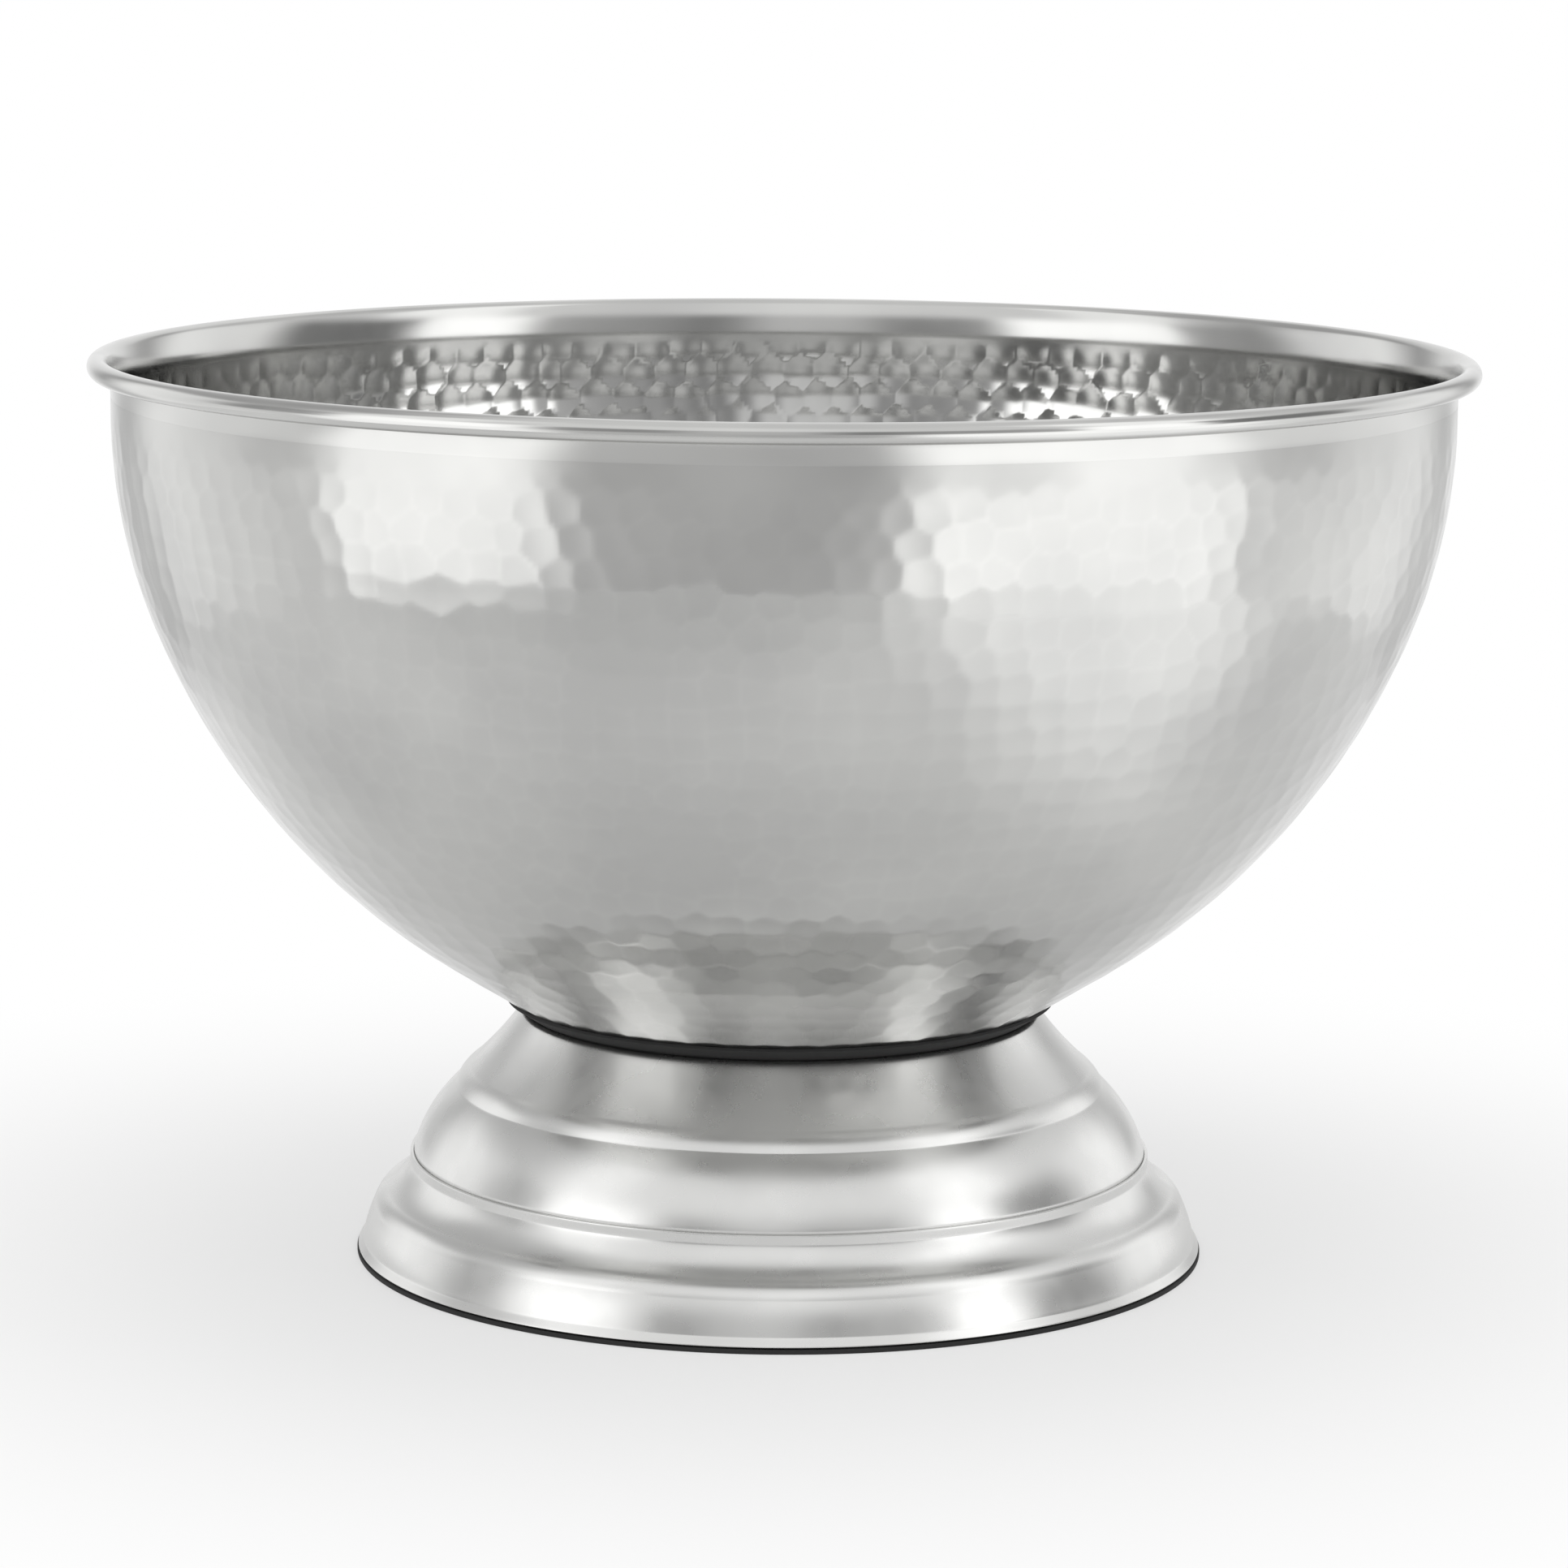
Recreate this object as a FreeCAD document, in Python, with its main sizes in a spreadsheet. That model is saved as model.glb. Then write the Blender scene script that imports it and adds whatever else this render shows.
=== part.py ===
import FreeCAD, Part
import math
import os
import Sketcher

# Hammered champagne bowl on a stepped foot. Millimetres, +Z up, Z = 0 on the table, the Z axis is the
# bowl's own axis. The bowl is one spun sheet with a wired rim. The foot is two pressings, drawn up
# against the bowl from inside by a clamp cup, washers and a wing nut on a stud welded under the bowl.

doc = FreeCAD.newDocument("champagne_bowl")
sheet = doc.addObject("Spreadsheet::Sheet", "dims")

SIZES = {
    # bowl
    "rim_radius": 190.0,
    "rim_height": 251.0,
    "bead_radius": 2.8,
    "bead_end_angle": 214.0,
    "bowl_sheet": 1.0,
    "rim_flare": 6.3,
    "band_drop": 11.0,
    "shoulder_drop": 15.3,
    "shoulder_turn": 22.7,
    "belly_foot_radius": 94.94,
    "belly_foot_height": 84.485,
    "seat_slope": 32.4,
    "bottom_arc": 60.0,
    "bottom_height": 51.7,
    # wire in the rim
    "wire_gap": 0.05,
    # black ring between bowl and foot
    "seal_thickness": 0.9,
    "seal_inset": 9.9,
    "seal_reveal": 3.1,
    "seal_gap": 0.03,
    # upper foot
    "foot_sheet": 1.0,
    "flange_width": 12.9,
    "collar_radius": 72.9,
    "collar_bend": 1.8,
    "collar_lean": 35.0,
    "neck_arc": 95.0,
    "neck_run": 13.5,
    "neck_foot_height": 52.2,
    "ring_arc": 11.0,
    "ring_run": 4.1,
    "ring_fall": 5.0,
    "tier_arc": 39.0,
    "tier_run": 11.7,
    "tier_foot_height": 29.0,
    # lower foot, lapped round the upper one
    "lap_gap": 0.05,
    "lap_reveal": 0.8,
    "lap_depth": 6.7,
    "lap_collar": 2.8,
    "cove_arc": 16.0,
    "cove_run": 6.35,
    "cove_fall": 7.8,
    "ridge_arc": 7.0,
    "ridge_run": 3.9,
    "ridge_fall": 4.4,
    "skirt_arc": 40.0,
    "skirt_foot_height": 4.0,
    "hem_run": 4.5,
    "hem_slope": 35.0,
    # edge ring that the foot stands on
    "edge_overhang": 0.2,
    "edge_height": 1.2,
    "edge_gap": 0.05,
    "edge_lip_gap": 0.4,
    "edge_lip_thickness": 2.0,
    "edge_lip_height": 5.0,
    # fixing inside the foot
    "plate_radius": 22.0,
    "plate_thickness": 2.0,
    "plate_chamfer": 0.6,
    "stud_radius": 3.95,
    "stud_flange_radius": 7.0,
    "stud_flange_height": 1.5,
    "stud_end_height": 19.0,
    "stud_chamfer": 0.8,
    "cup_sheet": 2.0,
    "cup_gap": 0.05,
    "cup_rim_inset": 4.4,
    "cup_rim_width": 7.0,
    "cup_wall_run": 7.5,
    "cup_drop": 4.0,
    "cup_hole_radius": 4.5,
    "washer_bore_radius": 4.3,
    "washer_radius": 12.0,
    "washer_thickness": 1.6,
    "spring_radius": 7.0,
    "spring_thickness": 2.0,
    "spring_split": 1.4,
    "spring_split_angle": 25.0,
    "nut_bore_gap": 0.05,
    "nut_gap": 0.05,
    "nut_radius": 8.0,
    "nut_end_radius": 6.6,
    "nut_height": 8.5,
    "wing_thickness": 2.6,
    "wing_root_radius": 4.8,
    "wing_span": 17.5,
    "wing_tip_radius": 5.2,
    "wing_drop": 12.0,
    "wing_shoulder": 1.7,
    "wing_lift": 0.9,
}

for row, (alias, size) in enumerate(SIZES.items(), start=1):
    sheet.set(f"A{row}", alias)
    sheet.set(f"B{row}", str(size))
    sheet.setAlias(f"B{row}", alias)
doc.recompute()


def named(formula):
    """Put the sheet's name before every size in a formula, so that any object can read it."""
    words = []
    word = ""
    for letter in formula + " ":
        if letter.isalnum() or letter == "_":
            word += letter
            continue
        words.append(f"dims.{word}" if word in SIZES else word)
        words.append(letter)
        word = ""
    return "".join(words).strip()


def value(formula):
    """The number that a formula of the sheet's sizes comes to."""
    return float(sheet.evalExpression(named(formula)))


def bind(item, **formulas):
    """Tie an object's properties to formulas of the sheet's sizes."""
    for property_name, formula in formulas.items():
        item.setExpression(property_name, named(formula))
    return item


def arc_centre(start, end, size, large):
    """Centre of an arc between two points, anticlockwise where its radius is positive."""
    chord = end - start
    reach = math.sqrt(max(size * size - chord.Length**2 / 4, 0.0))
    left = FreeCAD.Vector(-chord.y, chord.x, 0).normalize()
    side = math.copysign(1.0, size) * (-1.0 if large else 1.0)
    return (start + end) * 0.5 + left * reach * side


class Outline:
    """A chain of lines and arcs. Every corner is (radius, height), each a formula of the sizes."""

    def __init__(self, radius, height):
        self.corners = [(radius, height)]
        self.spans = []

    def line_to(self, radius, height):
        self.corners.append((radius, height))
        self.spans.append(None)
        return self

    def arc_to(self, radius, height, arc, large=False):
        """An arc whose radius is a formula, anticlockwise where that is positive."""
        self.corners.append((radius, height))
        self.spans.append((arc, large))
        return self

    def close(self):
        return self.line_to(*self.corners[0])

    def points(self):
        return [FreeCAD.Vector(value(r), value(z), 0) for r, z in self.corners]

    def normals(self):
        """The unit vector to the left of each span, at its start and at its end."""
        found = []
        points = self.points()
        for span, start, end in zip(self.spans, points, points[1:]):
            if span is None:
                chord = (end - start).normalize()
                left = FreeCAD.Vector(-chord.y, chord.x, 0)
                found.append((left, left))
                continue
            arc, large = span
            centre = arc_centre(start, end, value(arc), large)
            turn = math.copysign(1.0, value(arc))
            found.append(tuple((centre - point).normalize() * turn for point in (start, end)))
        return found

    def thicken(self, sheet_size):
        """Close the chain into a sheet's section: a second skin to the left, mitred at each corner."""
        normals = self.normals()
        before = [normals[0][0]] + [end for _, end in normals]
        after = [start for start, _ in normals] + [normals[-1][1]]
        skin = []
        for (radius, height), one, two in zip(self.corners, before, after):
            mitre = (one + two) * (1 / (1 + one.dot(two)))
            skin.append(
                (f"{radius} + ({sheet_size}) * {mitre.x:.9f}", f"{height} + ({sheet_size}) * {mitre.y:.9f}")
            )
        spans = list(self.spans)
        self.line_to(*skin[-1])
        for span, corner in zip(reversed(spans), reversed(skin[:-1])):
            if span is None:
                self.line_to(*corner)
            else:
                self.arc_to(*corner, f"({sheet_size}) - ({span[0]})", span[1])
        return self.close()

    def draw(self, sketch):
        """Draw the closed chain, then tie each corner and each arc's radius to its formula."""
        points = self.points()
        ends = []
        for span, start, end in zip(self.spans, points, points[1:]):
            if span is None:
                index = sketch.addGeometry(Part.LineSegment(start, end), False)
                ends.append((index, 1, 2))
                continue
            arc, large = span
            size = value(arc)
            centre = arc_centre(start, end, size, large)
            first, last = (start, end) if size > 0 else (end, start)
            angles = [math.atan2(point.y - centre.y, point.x - centre.x) for point in (first, last)]
            circle = Part.Circle(centre, FreeCAD.Vector(0, 0, 1), abs(size))
            index = sketch.addGeometry(Part.ArcOfCircle(circle, *angles), False)
            ends.append((index, 1, 2) if size > 0 else (index, 2, 1))
            rule = sketch.addConstraint(Sketcher.Constraint("Radius", index, abs(size)))
            sketch.setExpression(f"Constraints[{rule}]", named(f"abs({arc})"))
        for (before, _, out), (after, into, _) in zip(ends, ends[1:] + ends[:1]):
            sketch.addConstraint(Sketcher.Constraint("Coincident", before, out, after, into))
        for (index, into, _), (radius, height), point in zip(ends, self.corners, points):
            for kind, formula, size in (("DistanceX", radius, point.x), ("DistanceY", height, point.y)):
                rule = sketch.addConstraint(Sketcher.Constraint(kind, -1, 1, index, into, size))
                sketch.setExpression(f"Constraints[{rule}]", named(formula))


def body_sketch(body, name, role):
    """A sketch on one of the body's own origin planes."""
    sketch = body.newObject("Sketcher::SketchObject", name)
    plane = next(item for item in body.Origin.OriginFeatures if item.Role == role)
    sketch.AttachmentSupport = [(plane, "")]
    sketch.MapMode = "FlatFace"
    return sketch


def turned_body(label, outline):
    """A body turned from one closed outline about the Z axis."""
    body = doc.addObject("PartDesign::Body", label)
    body.Label = label
    sketch = body_sketch(body, f"{label}_outline", "XZ_Plane")
    outline.draw(sketch)
    turned = body.newObject("PartDesign::Revolution", f"{label}_turned")
    turned.Profile = sketch
    turned.ReferenceAxis = (sketch, ["V_Axis"])
    turned.Angle = 360
    return body


def polygon(corners):
    """A closed outline of straight lines."""
    outline = Outline(*corners[0])
    for corner in corners[1:]:
        outline.line_to(*corner)
    return outline.close()


def tube(name, outer, inner, bottom, height):
    """A plain ring: one cylinder cut from another, both tied to the sheet."""
    solids = []
    for part_name, radius in (("outside", outer), ("bore", inner)):
        cylinder = doc.addObject("Part::Cylinder", f"{name}_{part_name}")
        bind(cylinder, Radius=radius, Height=height)
        bind(cylinder, **{"Placement.Base.z": bottom})
        solids.append(cylinder)
    ring = doc.addObject("Part::Cut", name)
    ring.Base, ring.Tool = solids
    return ring


# Where the bowl's outer skin runs. The wall turns inwards through two arcs, the shoulder and the
# belly, whose radii follow from the room between the wall and the cone that the foot fits against.
WALL_RADIUS = "(rim_radius - rim_flare)"
SHOULDER_HEIGHT = "(rim_height - shoulder_drop)"
WALL_RUN = f"({WALL_RADIUS} - belly_foot_radius)"
WALL_FALL = f"({SHOULDER_HEIGHT} - belly_foot_height)"
SHOULDER_RUN = "(1 - cos(shoulder_turn))"
SHOULDER_FALL = "sin(shoulder_turn)"
BELLY_RUN = "(cos(shoulder_turn) - sin(seat_slope))"
BELLY_FALL = "(cos(seat_slope) - sin(shoulder_turn))"
ARC_SHARE = f"({SHOULDER_FALL} * {BELLY_RUN} - {SHOULDER_RUN} * {BELLY_FALL})"
SHOULDER_ARC = f"(({WALL_FALL} * {BELLY_RUN} - {WALL_RUN} * {BELLY_FALL}) / {ARC_SHARE})"
BELLY_ARC = f"(({WALL_RUN} * {SHOULDER_FALL} - {WALL_FALL} * {SHOULDER_RUN}) / {ARC_SHARE})"


def under_bowl(radius, distance):
    """Height of the cone that lies a square distance below the bowl's cone, at a radius."""
    drop = f"({distance}) / cos(seat_slope)"
    return f"(belly_foot_height - (belly_foot_radius - ({radius})) * tan(seat_slope) - {drop})"


# Depths below the bowl's cone: seal, foot flange and clamp cup, one under the other.
SEAL_TOP = "seal_gap"
SEAL_BOTTOM = "(seal_gap + seal_thickness)"
FLANGE_TOP = "(2 * seal_gap + seal_thickness)"
CUP_TOP = f"({FLANGE_TOP} + foot_sheet + cup_gap)"

BEAD_CENTRE = "(rim_radius - bead_radius)"
BEAD_HEIGHT = "(rim_height - bead_radius)"


def make_bowl():
    """The inner skin from the rolled edge down to the middle of the floor, thickened outwards."""
    inner_wall = f"({WALL_RADIUS} - bowl_sheet)"
    band_height = "(rim_height - band_drop)"
    lip_rise = f"({BEAD_HEIGHT} - {band_height})"
    lip_turn = f"(2 * atan(({BEAD_CENTRE} - {inner_wall} - bead_radius) / {lip_rise}))"
    shoulder = f"({SHOULDER_ARC} - bowl_sheet)"
    belly = f"({BELLY_ARC} - bowl_sheet)"
    bottom = "(bottom_arc - bowl_sheet)"
    floor = "(bottom_height + bowl_sheet)"
    cone_top_radius = "(belly_foot_radius - bowl_sheet * sin(seat_slope))"
    cone_top_height = "(belly_foot_height + bowl_sheet * cos(seat_slope))"
    cone_foot_height = f"({floor} + {bottom} * (1 - cos(seat_slope)))"
    cone_run = f"(({cone_top_height} - {cone_foot_height}) / tan(seat_slope))"
    cone_foot_radius = f"({cone_top_radius} - {cone_run})"
    outline = Outline(
        f"{BEAD_CENTRE} + bead_radius * cos(bead_end_angle)",
        f"{BEAD_HEIGHT} + bead_radius * sin(bead_end_angle)",
    )
    outline.arc_to(
        f"{BEAD_CENTRE} - bead_radius * cos({lip_turn})",
        f"{BEAD_HEIGHT} + bead_radius * sin({lip_turn})",
        "bead_radius",
        large=True,
    )
    outline.arc_to(inner_wall, band_height, f"(bead_radius + {lip_rise} / sin({lip_turn}))")
    outline.line_to(inner_wall, SHOULDER_HEIGHT)
    outline.arc_to(
        f"{inner_wall} - {shoulder} * {SHOULDER_RUN}",
        f"{SHOULDER_HEIGHT} - {shoulder} * {SHOULDER_FALL}",
        f"-{shoulder}",
    )
    outline.arc_to(cone_top_radius, cone_top_height, f"-{belly}")
    outline.line_to(cone_foot_radius, cone_foot_height)
    outline.arc_to(f"{cone_foot_radius} - {bottom} * sin(seat_slope)", floor, f"-{bottom}")
    outline.line_to("0", floor)
    return turned_body("bowl", outline.thicken("bowl_sheet"))


def make_rim_wire():
    """The wire that the rim is rolled over."""
    wire = doc.addObject("Part::Torus", "rim_wire")
    bind(wire, Radius1=BEAD_CENTRE, Radius2="bead_radius - bowl_sheet - wire_gap")
    bind(wire, **{"Placement.Base.z": BEAD_HEIGHT})
    return wire


def make_seat_ring():
    """The black ring: a thin cone that lies between the bowl and the foot and shows past the collar."""
    inner = "collar_radius - seal_inset"
    outer = "collar_radius + seal_reveal"
    lower_inner = f"{inner} + seal_thickness * sin(seat_slope)"
    lower_outer = f"{outer} + seal_thickness * sin(seat_slope)"
    corners = [
        (inner, under_bowl(inner, SEAL_TOP)),
        (lower_inner, under_bowl(lower_inner, SEAL_BOTTOM)),
        (lower_outer, under_bowl(lower_outer, SEAL_BOTTOM)),
        (outer, under_bowl(outer, SEAL_TOP)),
    ]
    return turned_body("seat_ring", polygon(corners))


NECK_FOOT_RADIUS = "(collar_radius + neck_run)"
TIER_TOP_RADIUS = f"({NECK_FOOT_RADIUS} + ring_run)"
TIER_FOOT_RADIUS = f"({TIER_TOP_RADIUS} + tier_run)"
LAP_TOP_HEIGHT = "(tier_foot_height - lap_reveal)"


def make_foot_neck():
    """The upper foot: seat flange, collar, flared neck, half-round ring and the bulging tier."""
    bend_radius = "(collar_radius - collar_bend * cos(collar_lean))"
    bend_start = f"({bend_radius} - collar_bend * sin(seat_slope))"
    bend_top = under_bowl(bend_start, FLANGE_TOP)
    bend_end = f"({bend_top} - collar_bend * (cos(seat_slope) - sin(collar_lean)))"
    flange_radius = "collar_radius - flange_width"
    outline = Outline(flange_radius, under_bowl(flange_radius, FLANGE_TOP))
    outline.line_to(bend_start, bend_top)
    outline.arc_to("collar_radius", bend_end, "-collar_bend")
    outline.arc_to(NECK_FOOT_RADIUS, "neck_foot_height", "neck_arc")
    outline.arc_to(TIER_TOP_RADIUS, "neck_foot_height - ring_fall", "-ring_arc")
    outline.arc_to(TIER_FOOT_RADIUS, "tier_foot_height", "-tier_arc")
    outline.line_to(TIER_FOOT_RADIUS, f"{LAP_TOP_HEIGHT} - lap_depth")
    return turned_body("foot_neck", outline.thicken("-foot_sheet"))


LAP_RADIUS = f"({TIER_FOOT_RADIUS} + lap_gap + foot_sheet)"
LAP_FOOT_HEIGHT = f"({LAP_TOP_HEIGHT} - lap_collar)"
COVE_FOOT_RADIUS = f"({LAP_RADIUS} + cove_run)"
COVE_FOOT_HEIGHT = f"({LAP_FOOT_HEIGHT} - cove_fall)"
RIDGE_FOOT_RADIUS = f"({COVE_FOOT_RADIUS} + ridge_run)"
RIDGE_FOOT_HEIGHT = f"({COVE_FOOT_HEIGHT} - ridge_fall)"
HEM_RADIUS = f"({RIDGE_FOOT_RADIUS} + hem_run)"

# The hem's lower corner stands just off the edge ring, whatever the sheet and the slope.
HEM_HEIGHT = "(edge_height + edge_gap + foot_sheet * sin(hem_slope))"
SKIRT_FOOT_RADIUS = f"({HEM_RADIUS} - (skirt_foot_height - {HEM_HEIGHT}) * tan(hem_slope))"
EDGE_LIP_RADIUS = f"({SKIRT_FOOT_RADIUS} - foot_sheet - edge_lip_gap)"


def make_foot_base():
    """The lower foot: collar lapped round the upper foot, cove, ridge, skirt and flared hem."""
    outline = Outline(LAP_RADIUS, LAP_TOP_HEIGHT)
    outline.line_to(LAP_RADIUS, LAP_FOOT_HEIGHT)
    outline.arc_to(COVE_FOOT_RADIUS, COVE_FOOT_HEIGHT, "cove_arc")
    outline.arc_to(RIDGE_FOOT_RADIUS, RIDGE_FOOT_HEIGHT, "-ridge_arc")
    outline.arc_to(SKIRT_FOOT_RADIUS, "skirt_foot_height", "-skirt_arc")
    outline.line_to(HEM_RADIUS, HEM_HEIGHT)
    return turned_body("foot_base", outline.thicken("-foot_sheet"))


def make_edge_ring():
    """The black ring under the hem, with a lip that stands up inside it."""
    inner = f"{EDGE_LIP_RADIUS} - edge_lip_thickness"
    outer = f"{HEM_RADIUS} + edge_overhang"
    corners = [
        (inner, "0"),
        (outer, "0"),
        (outer, "edge_height"),
        (EDGE_LIP_RADIUS, "edge_height"),
        (EDGE_LIP_RADIUS, "edge_lip_height"),
        (inner, "edge_lip_height"),
    ]
    return turned_body("base_edge_ring", polygon(corners))


PLATE_BOTTOM = "(bottom_height - plate_thickness)"
STUD_SHOULDER = f"({PLATE_BOTTOM} - stud_flange_height)"
CUP_FLOOR = f"({STUD_SHOULDER} - cup_drop)"
CUP_BOTTOM = f"({CUP_FLOOR} - cup_sheet)"
WASHER_BOTTOM = f"({CUP_BOTTOM} - washer_thickness)"
SPRING_BOTTOM = f"({WASHER_BOTTOM} - spring_thickness)"
NUT_TOP = f"({SPRING_BOTTOM} - nut_gap)"
NUT_BOTTOM = f"({NUT_TOP} - nut_height)"


def make_stud_plate():
    """The doubling disc welded under the bowl's floor."""
    corners = [
        ("0", PLATE_BOTTOM),
        ("plate_radius - plate_chamfer", PLATE_BOTTOM),
        ("plate_radius", f"{PLATE_BOTTOM} + plate_chamfer"),
        ("plate_radius", "bottom_height"),
        ("0", "bottom_height"),
    ]
    return turned_body("stud_plate", polygon(corners))


def make_weld_stud():
    """The stud, modelled at its thread's mean radius, with its weld flange."""
    corners = [
        ("0", "stud_end_height"),
        ("stud_radius - stud_chamfer", "stud_end_height"),
        ("stud_radius", "stud_end_height + stud_chamfer"),
        ("stud_radius", STUD_SHOULDER),
        ("stud_flange_radius", STUD_SHOULDER),
        ("stud_flange_radius", PLATE_BOTTOM),
        ("0", PLATE_BOTTOM),
    ]
    return turned_body("weld_stud", polygon(corners))


def make_clamp_cup():
    """The pressed cup whose sloping rim bears up under the seat flange."""
    rim = "collar_radius - cup_rim_inset"
    seat = f"{rim} - cup_rim_width"
    outline = Outline("cup_hole_radius", CUP_FLOOR)
    outline.line_to(f"{seat} - cup_wall_run", CUP_FLOOR)
    outline.line_to(seat, under_bowl(seat, CUP_TOP))
    outline.line_to(rim, under_bowl(rim, CUP_TOP))
    return turned_body("clamp_cup", outline.thicken("-cup_sheet"))


def make_flat_washer():
    return tube("flat_washer", "washer_radius", "washer_bore_radius", WASHER_BOTTOM, "washer_thickness")


def make_spring_washer():
    """The split ring, with its slanting cut."""
    ring = tube("spring_ring", "spring_radius", "washer_bore_radius", SPRING_BOTTOM, "spring_thickness")
    split = doc.addObject("Part::Box", "spring_cut")
    bind(split, Length="spring_radius", Width="spring_split", Height="3 * spring_thickness")
    bind(split, **{"Placement.Base.y": "-spring_split / 2"})
    bind(split, **{"Placement.Base.z": f"{SPRING_BOTTOM} - spring_thickness"})
    bind(split, **{"Placement.Rotation.Angle": "spring_split_angle"})
    split.Placement.Rotation.Axis = FreeCAD.Vector(1, 0, 0)
    washer = doc.addObject("Part::Cut", "spring_washer")
    washer.Base = ring
    washer.Tool = split
    return washer


def make_wing_nut():
    """A coned hub with two wings that flare down and out, and a clear bore for the stud."""
    corners = [
        ("stud_radius + nut_bore_gap", NUT_BOTTOM),
        ("nut_end_radius", NUT_BOTTOM),
        ("nut_radius", NUT_TOP),
        ("stud_radius + nut_bore_gap", NUT_TOP),
    ]
    body = turned_body("wing_nut", polygon(corners))
    tip_height = f"({NUT_TOP} - wing_drop)"
    shoulder = f"{NUT_TOP} - wing_shoulder"
    wing = Outline("wing_root_radius", shoulder)
    wing.line_to("nut_radius", shoulder)
    wing.line_to("wing_span", tip_height)
    wing.arc_to("wing_span - wing_tip_radius", f"{tip_height} - wing_tip_radius", "-wing_tip_radius")
    wing.line_to("wing_root_radius", f"{NUT_BOTTOM} + wing_lift")
    sketch = body_sketch(body, "wing_outline", "XZ_Plane")
    wing.close().draw(sketch)
    pad = body.newObject("PartDesign::Pad", "wing_pad")
    pad.Profile = sketch
    pad.Midplane = True
    bind(pad, Length="wing_thickness")
    wings = body.newObject("PartDesign::PolarPattern", "wings")
    wings.Originals = [pad]
    wings.Axis = (sketch, ["V_Axis"])
    wings.Angle = 360
    wings.Occurrences = 2
    body.Tip = wings
    return body


PARTS = [
    make_bowl(),
    make_rim_wire(),
    make_seat_ring(),
    make_foot_neck(),
    make_foot_base(),
    make_edge_ring(),
    make_stud_plate(),
    make_weld_stud(),
    make_clamp_cup(),
    make_flat_washer(),
    make_spring_washer(),
    make_wing_nut(),
]

doc.recompute()
for item in doc.Objects:
    if "Invalid" in item.State or "Error" in item.State:
        raise RuntimeError(f"{item.Label} failed: {item.State}")
for part in PARTS:
    if part.Shape.isNull() or not part.Shape.isValid() or len(part.Shape.Solids) != 1:
        raise RuntimeError(f"{part.Label} is not one valid solid")

os.makedirs("parts", exist_ok=True)
for part in PARTS:
    part.Shape.exportStep(f"parts/{part.Label}.step")
    box = part.Shape.BoundBox
    print(f"{part.Label}: {part.Shape.Volume:.0f} mm3, z {box.ZMin:.2f} to {box.ZMax:.2f}, r {box.XMax:.2f}")
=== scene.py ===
import logging
import math
from dataclasses import dataclass, field
from enum import Enum

import bmesh
import bpy
import numpy as np
from mathutils import Euler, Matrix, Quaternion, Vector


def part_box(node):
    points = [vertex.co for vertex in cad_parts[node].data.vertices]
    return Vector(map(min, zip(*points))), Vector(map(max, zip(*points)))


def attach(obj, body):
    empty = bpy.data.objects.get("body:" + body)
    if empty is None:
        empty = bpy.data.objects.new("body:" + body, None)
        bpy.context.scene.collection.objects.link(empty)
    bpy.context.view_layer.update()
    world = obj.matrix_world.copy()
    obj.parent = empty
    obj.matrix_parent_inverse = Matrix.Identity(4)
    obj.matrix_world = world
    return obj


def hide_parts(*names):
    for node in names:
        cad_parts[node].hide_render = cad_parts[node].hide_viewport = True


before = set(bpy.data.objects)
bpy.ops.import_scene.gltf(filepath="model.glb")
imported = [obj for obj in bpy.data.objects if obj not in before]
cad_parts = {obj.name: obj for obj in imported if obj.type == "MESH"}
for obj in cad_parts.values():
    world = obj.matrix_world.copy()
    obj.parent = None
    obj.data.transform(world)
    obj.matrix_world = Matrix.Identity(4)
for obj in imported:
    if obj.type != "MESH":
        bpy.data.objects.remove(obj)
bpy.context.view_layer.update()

# A hammered champagne bowl on a stepped foot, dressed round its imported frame. Metres, +Z up, the
# table at Z = 0, the Z axis is the bowl's own axis. Every round piece is a section in the plane of
# radius and height, carried once round that axis.

LOG = logging.getLogger("champagne_bowl")

Piece = bpy.types.Object
Socket = bpy.types.NodeSocket
Span = tuple[float, float]


class Body(str, Enum):
    """The bodies of the frame that pieces ride on."""

    STANDING = "root"
    CLAMP = "clamp_stack"
    NUT = "wing_nut"


class Slot(str, Enum):
    """The record's finishes."""

    POLISHED = "polished_steel"
    PLAIN = "plain_steel"
    PLATED = "plated_steel"
    RUBBER = "black_rubber"


class Grain(Enum):
    """How the fine lines of a metal's finish run."""

    TURNED = "round the axis"
    TUMBLED = "in no direction"
    # Hammered: the ridges are burnished smoother, and their brighter tone is a painted sheen.
    HAMMERED = "in no direction, burnished on the ridges between hammer marks"


# ---------------------------------------------------------------- sections


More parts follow.
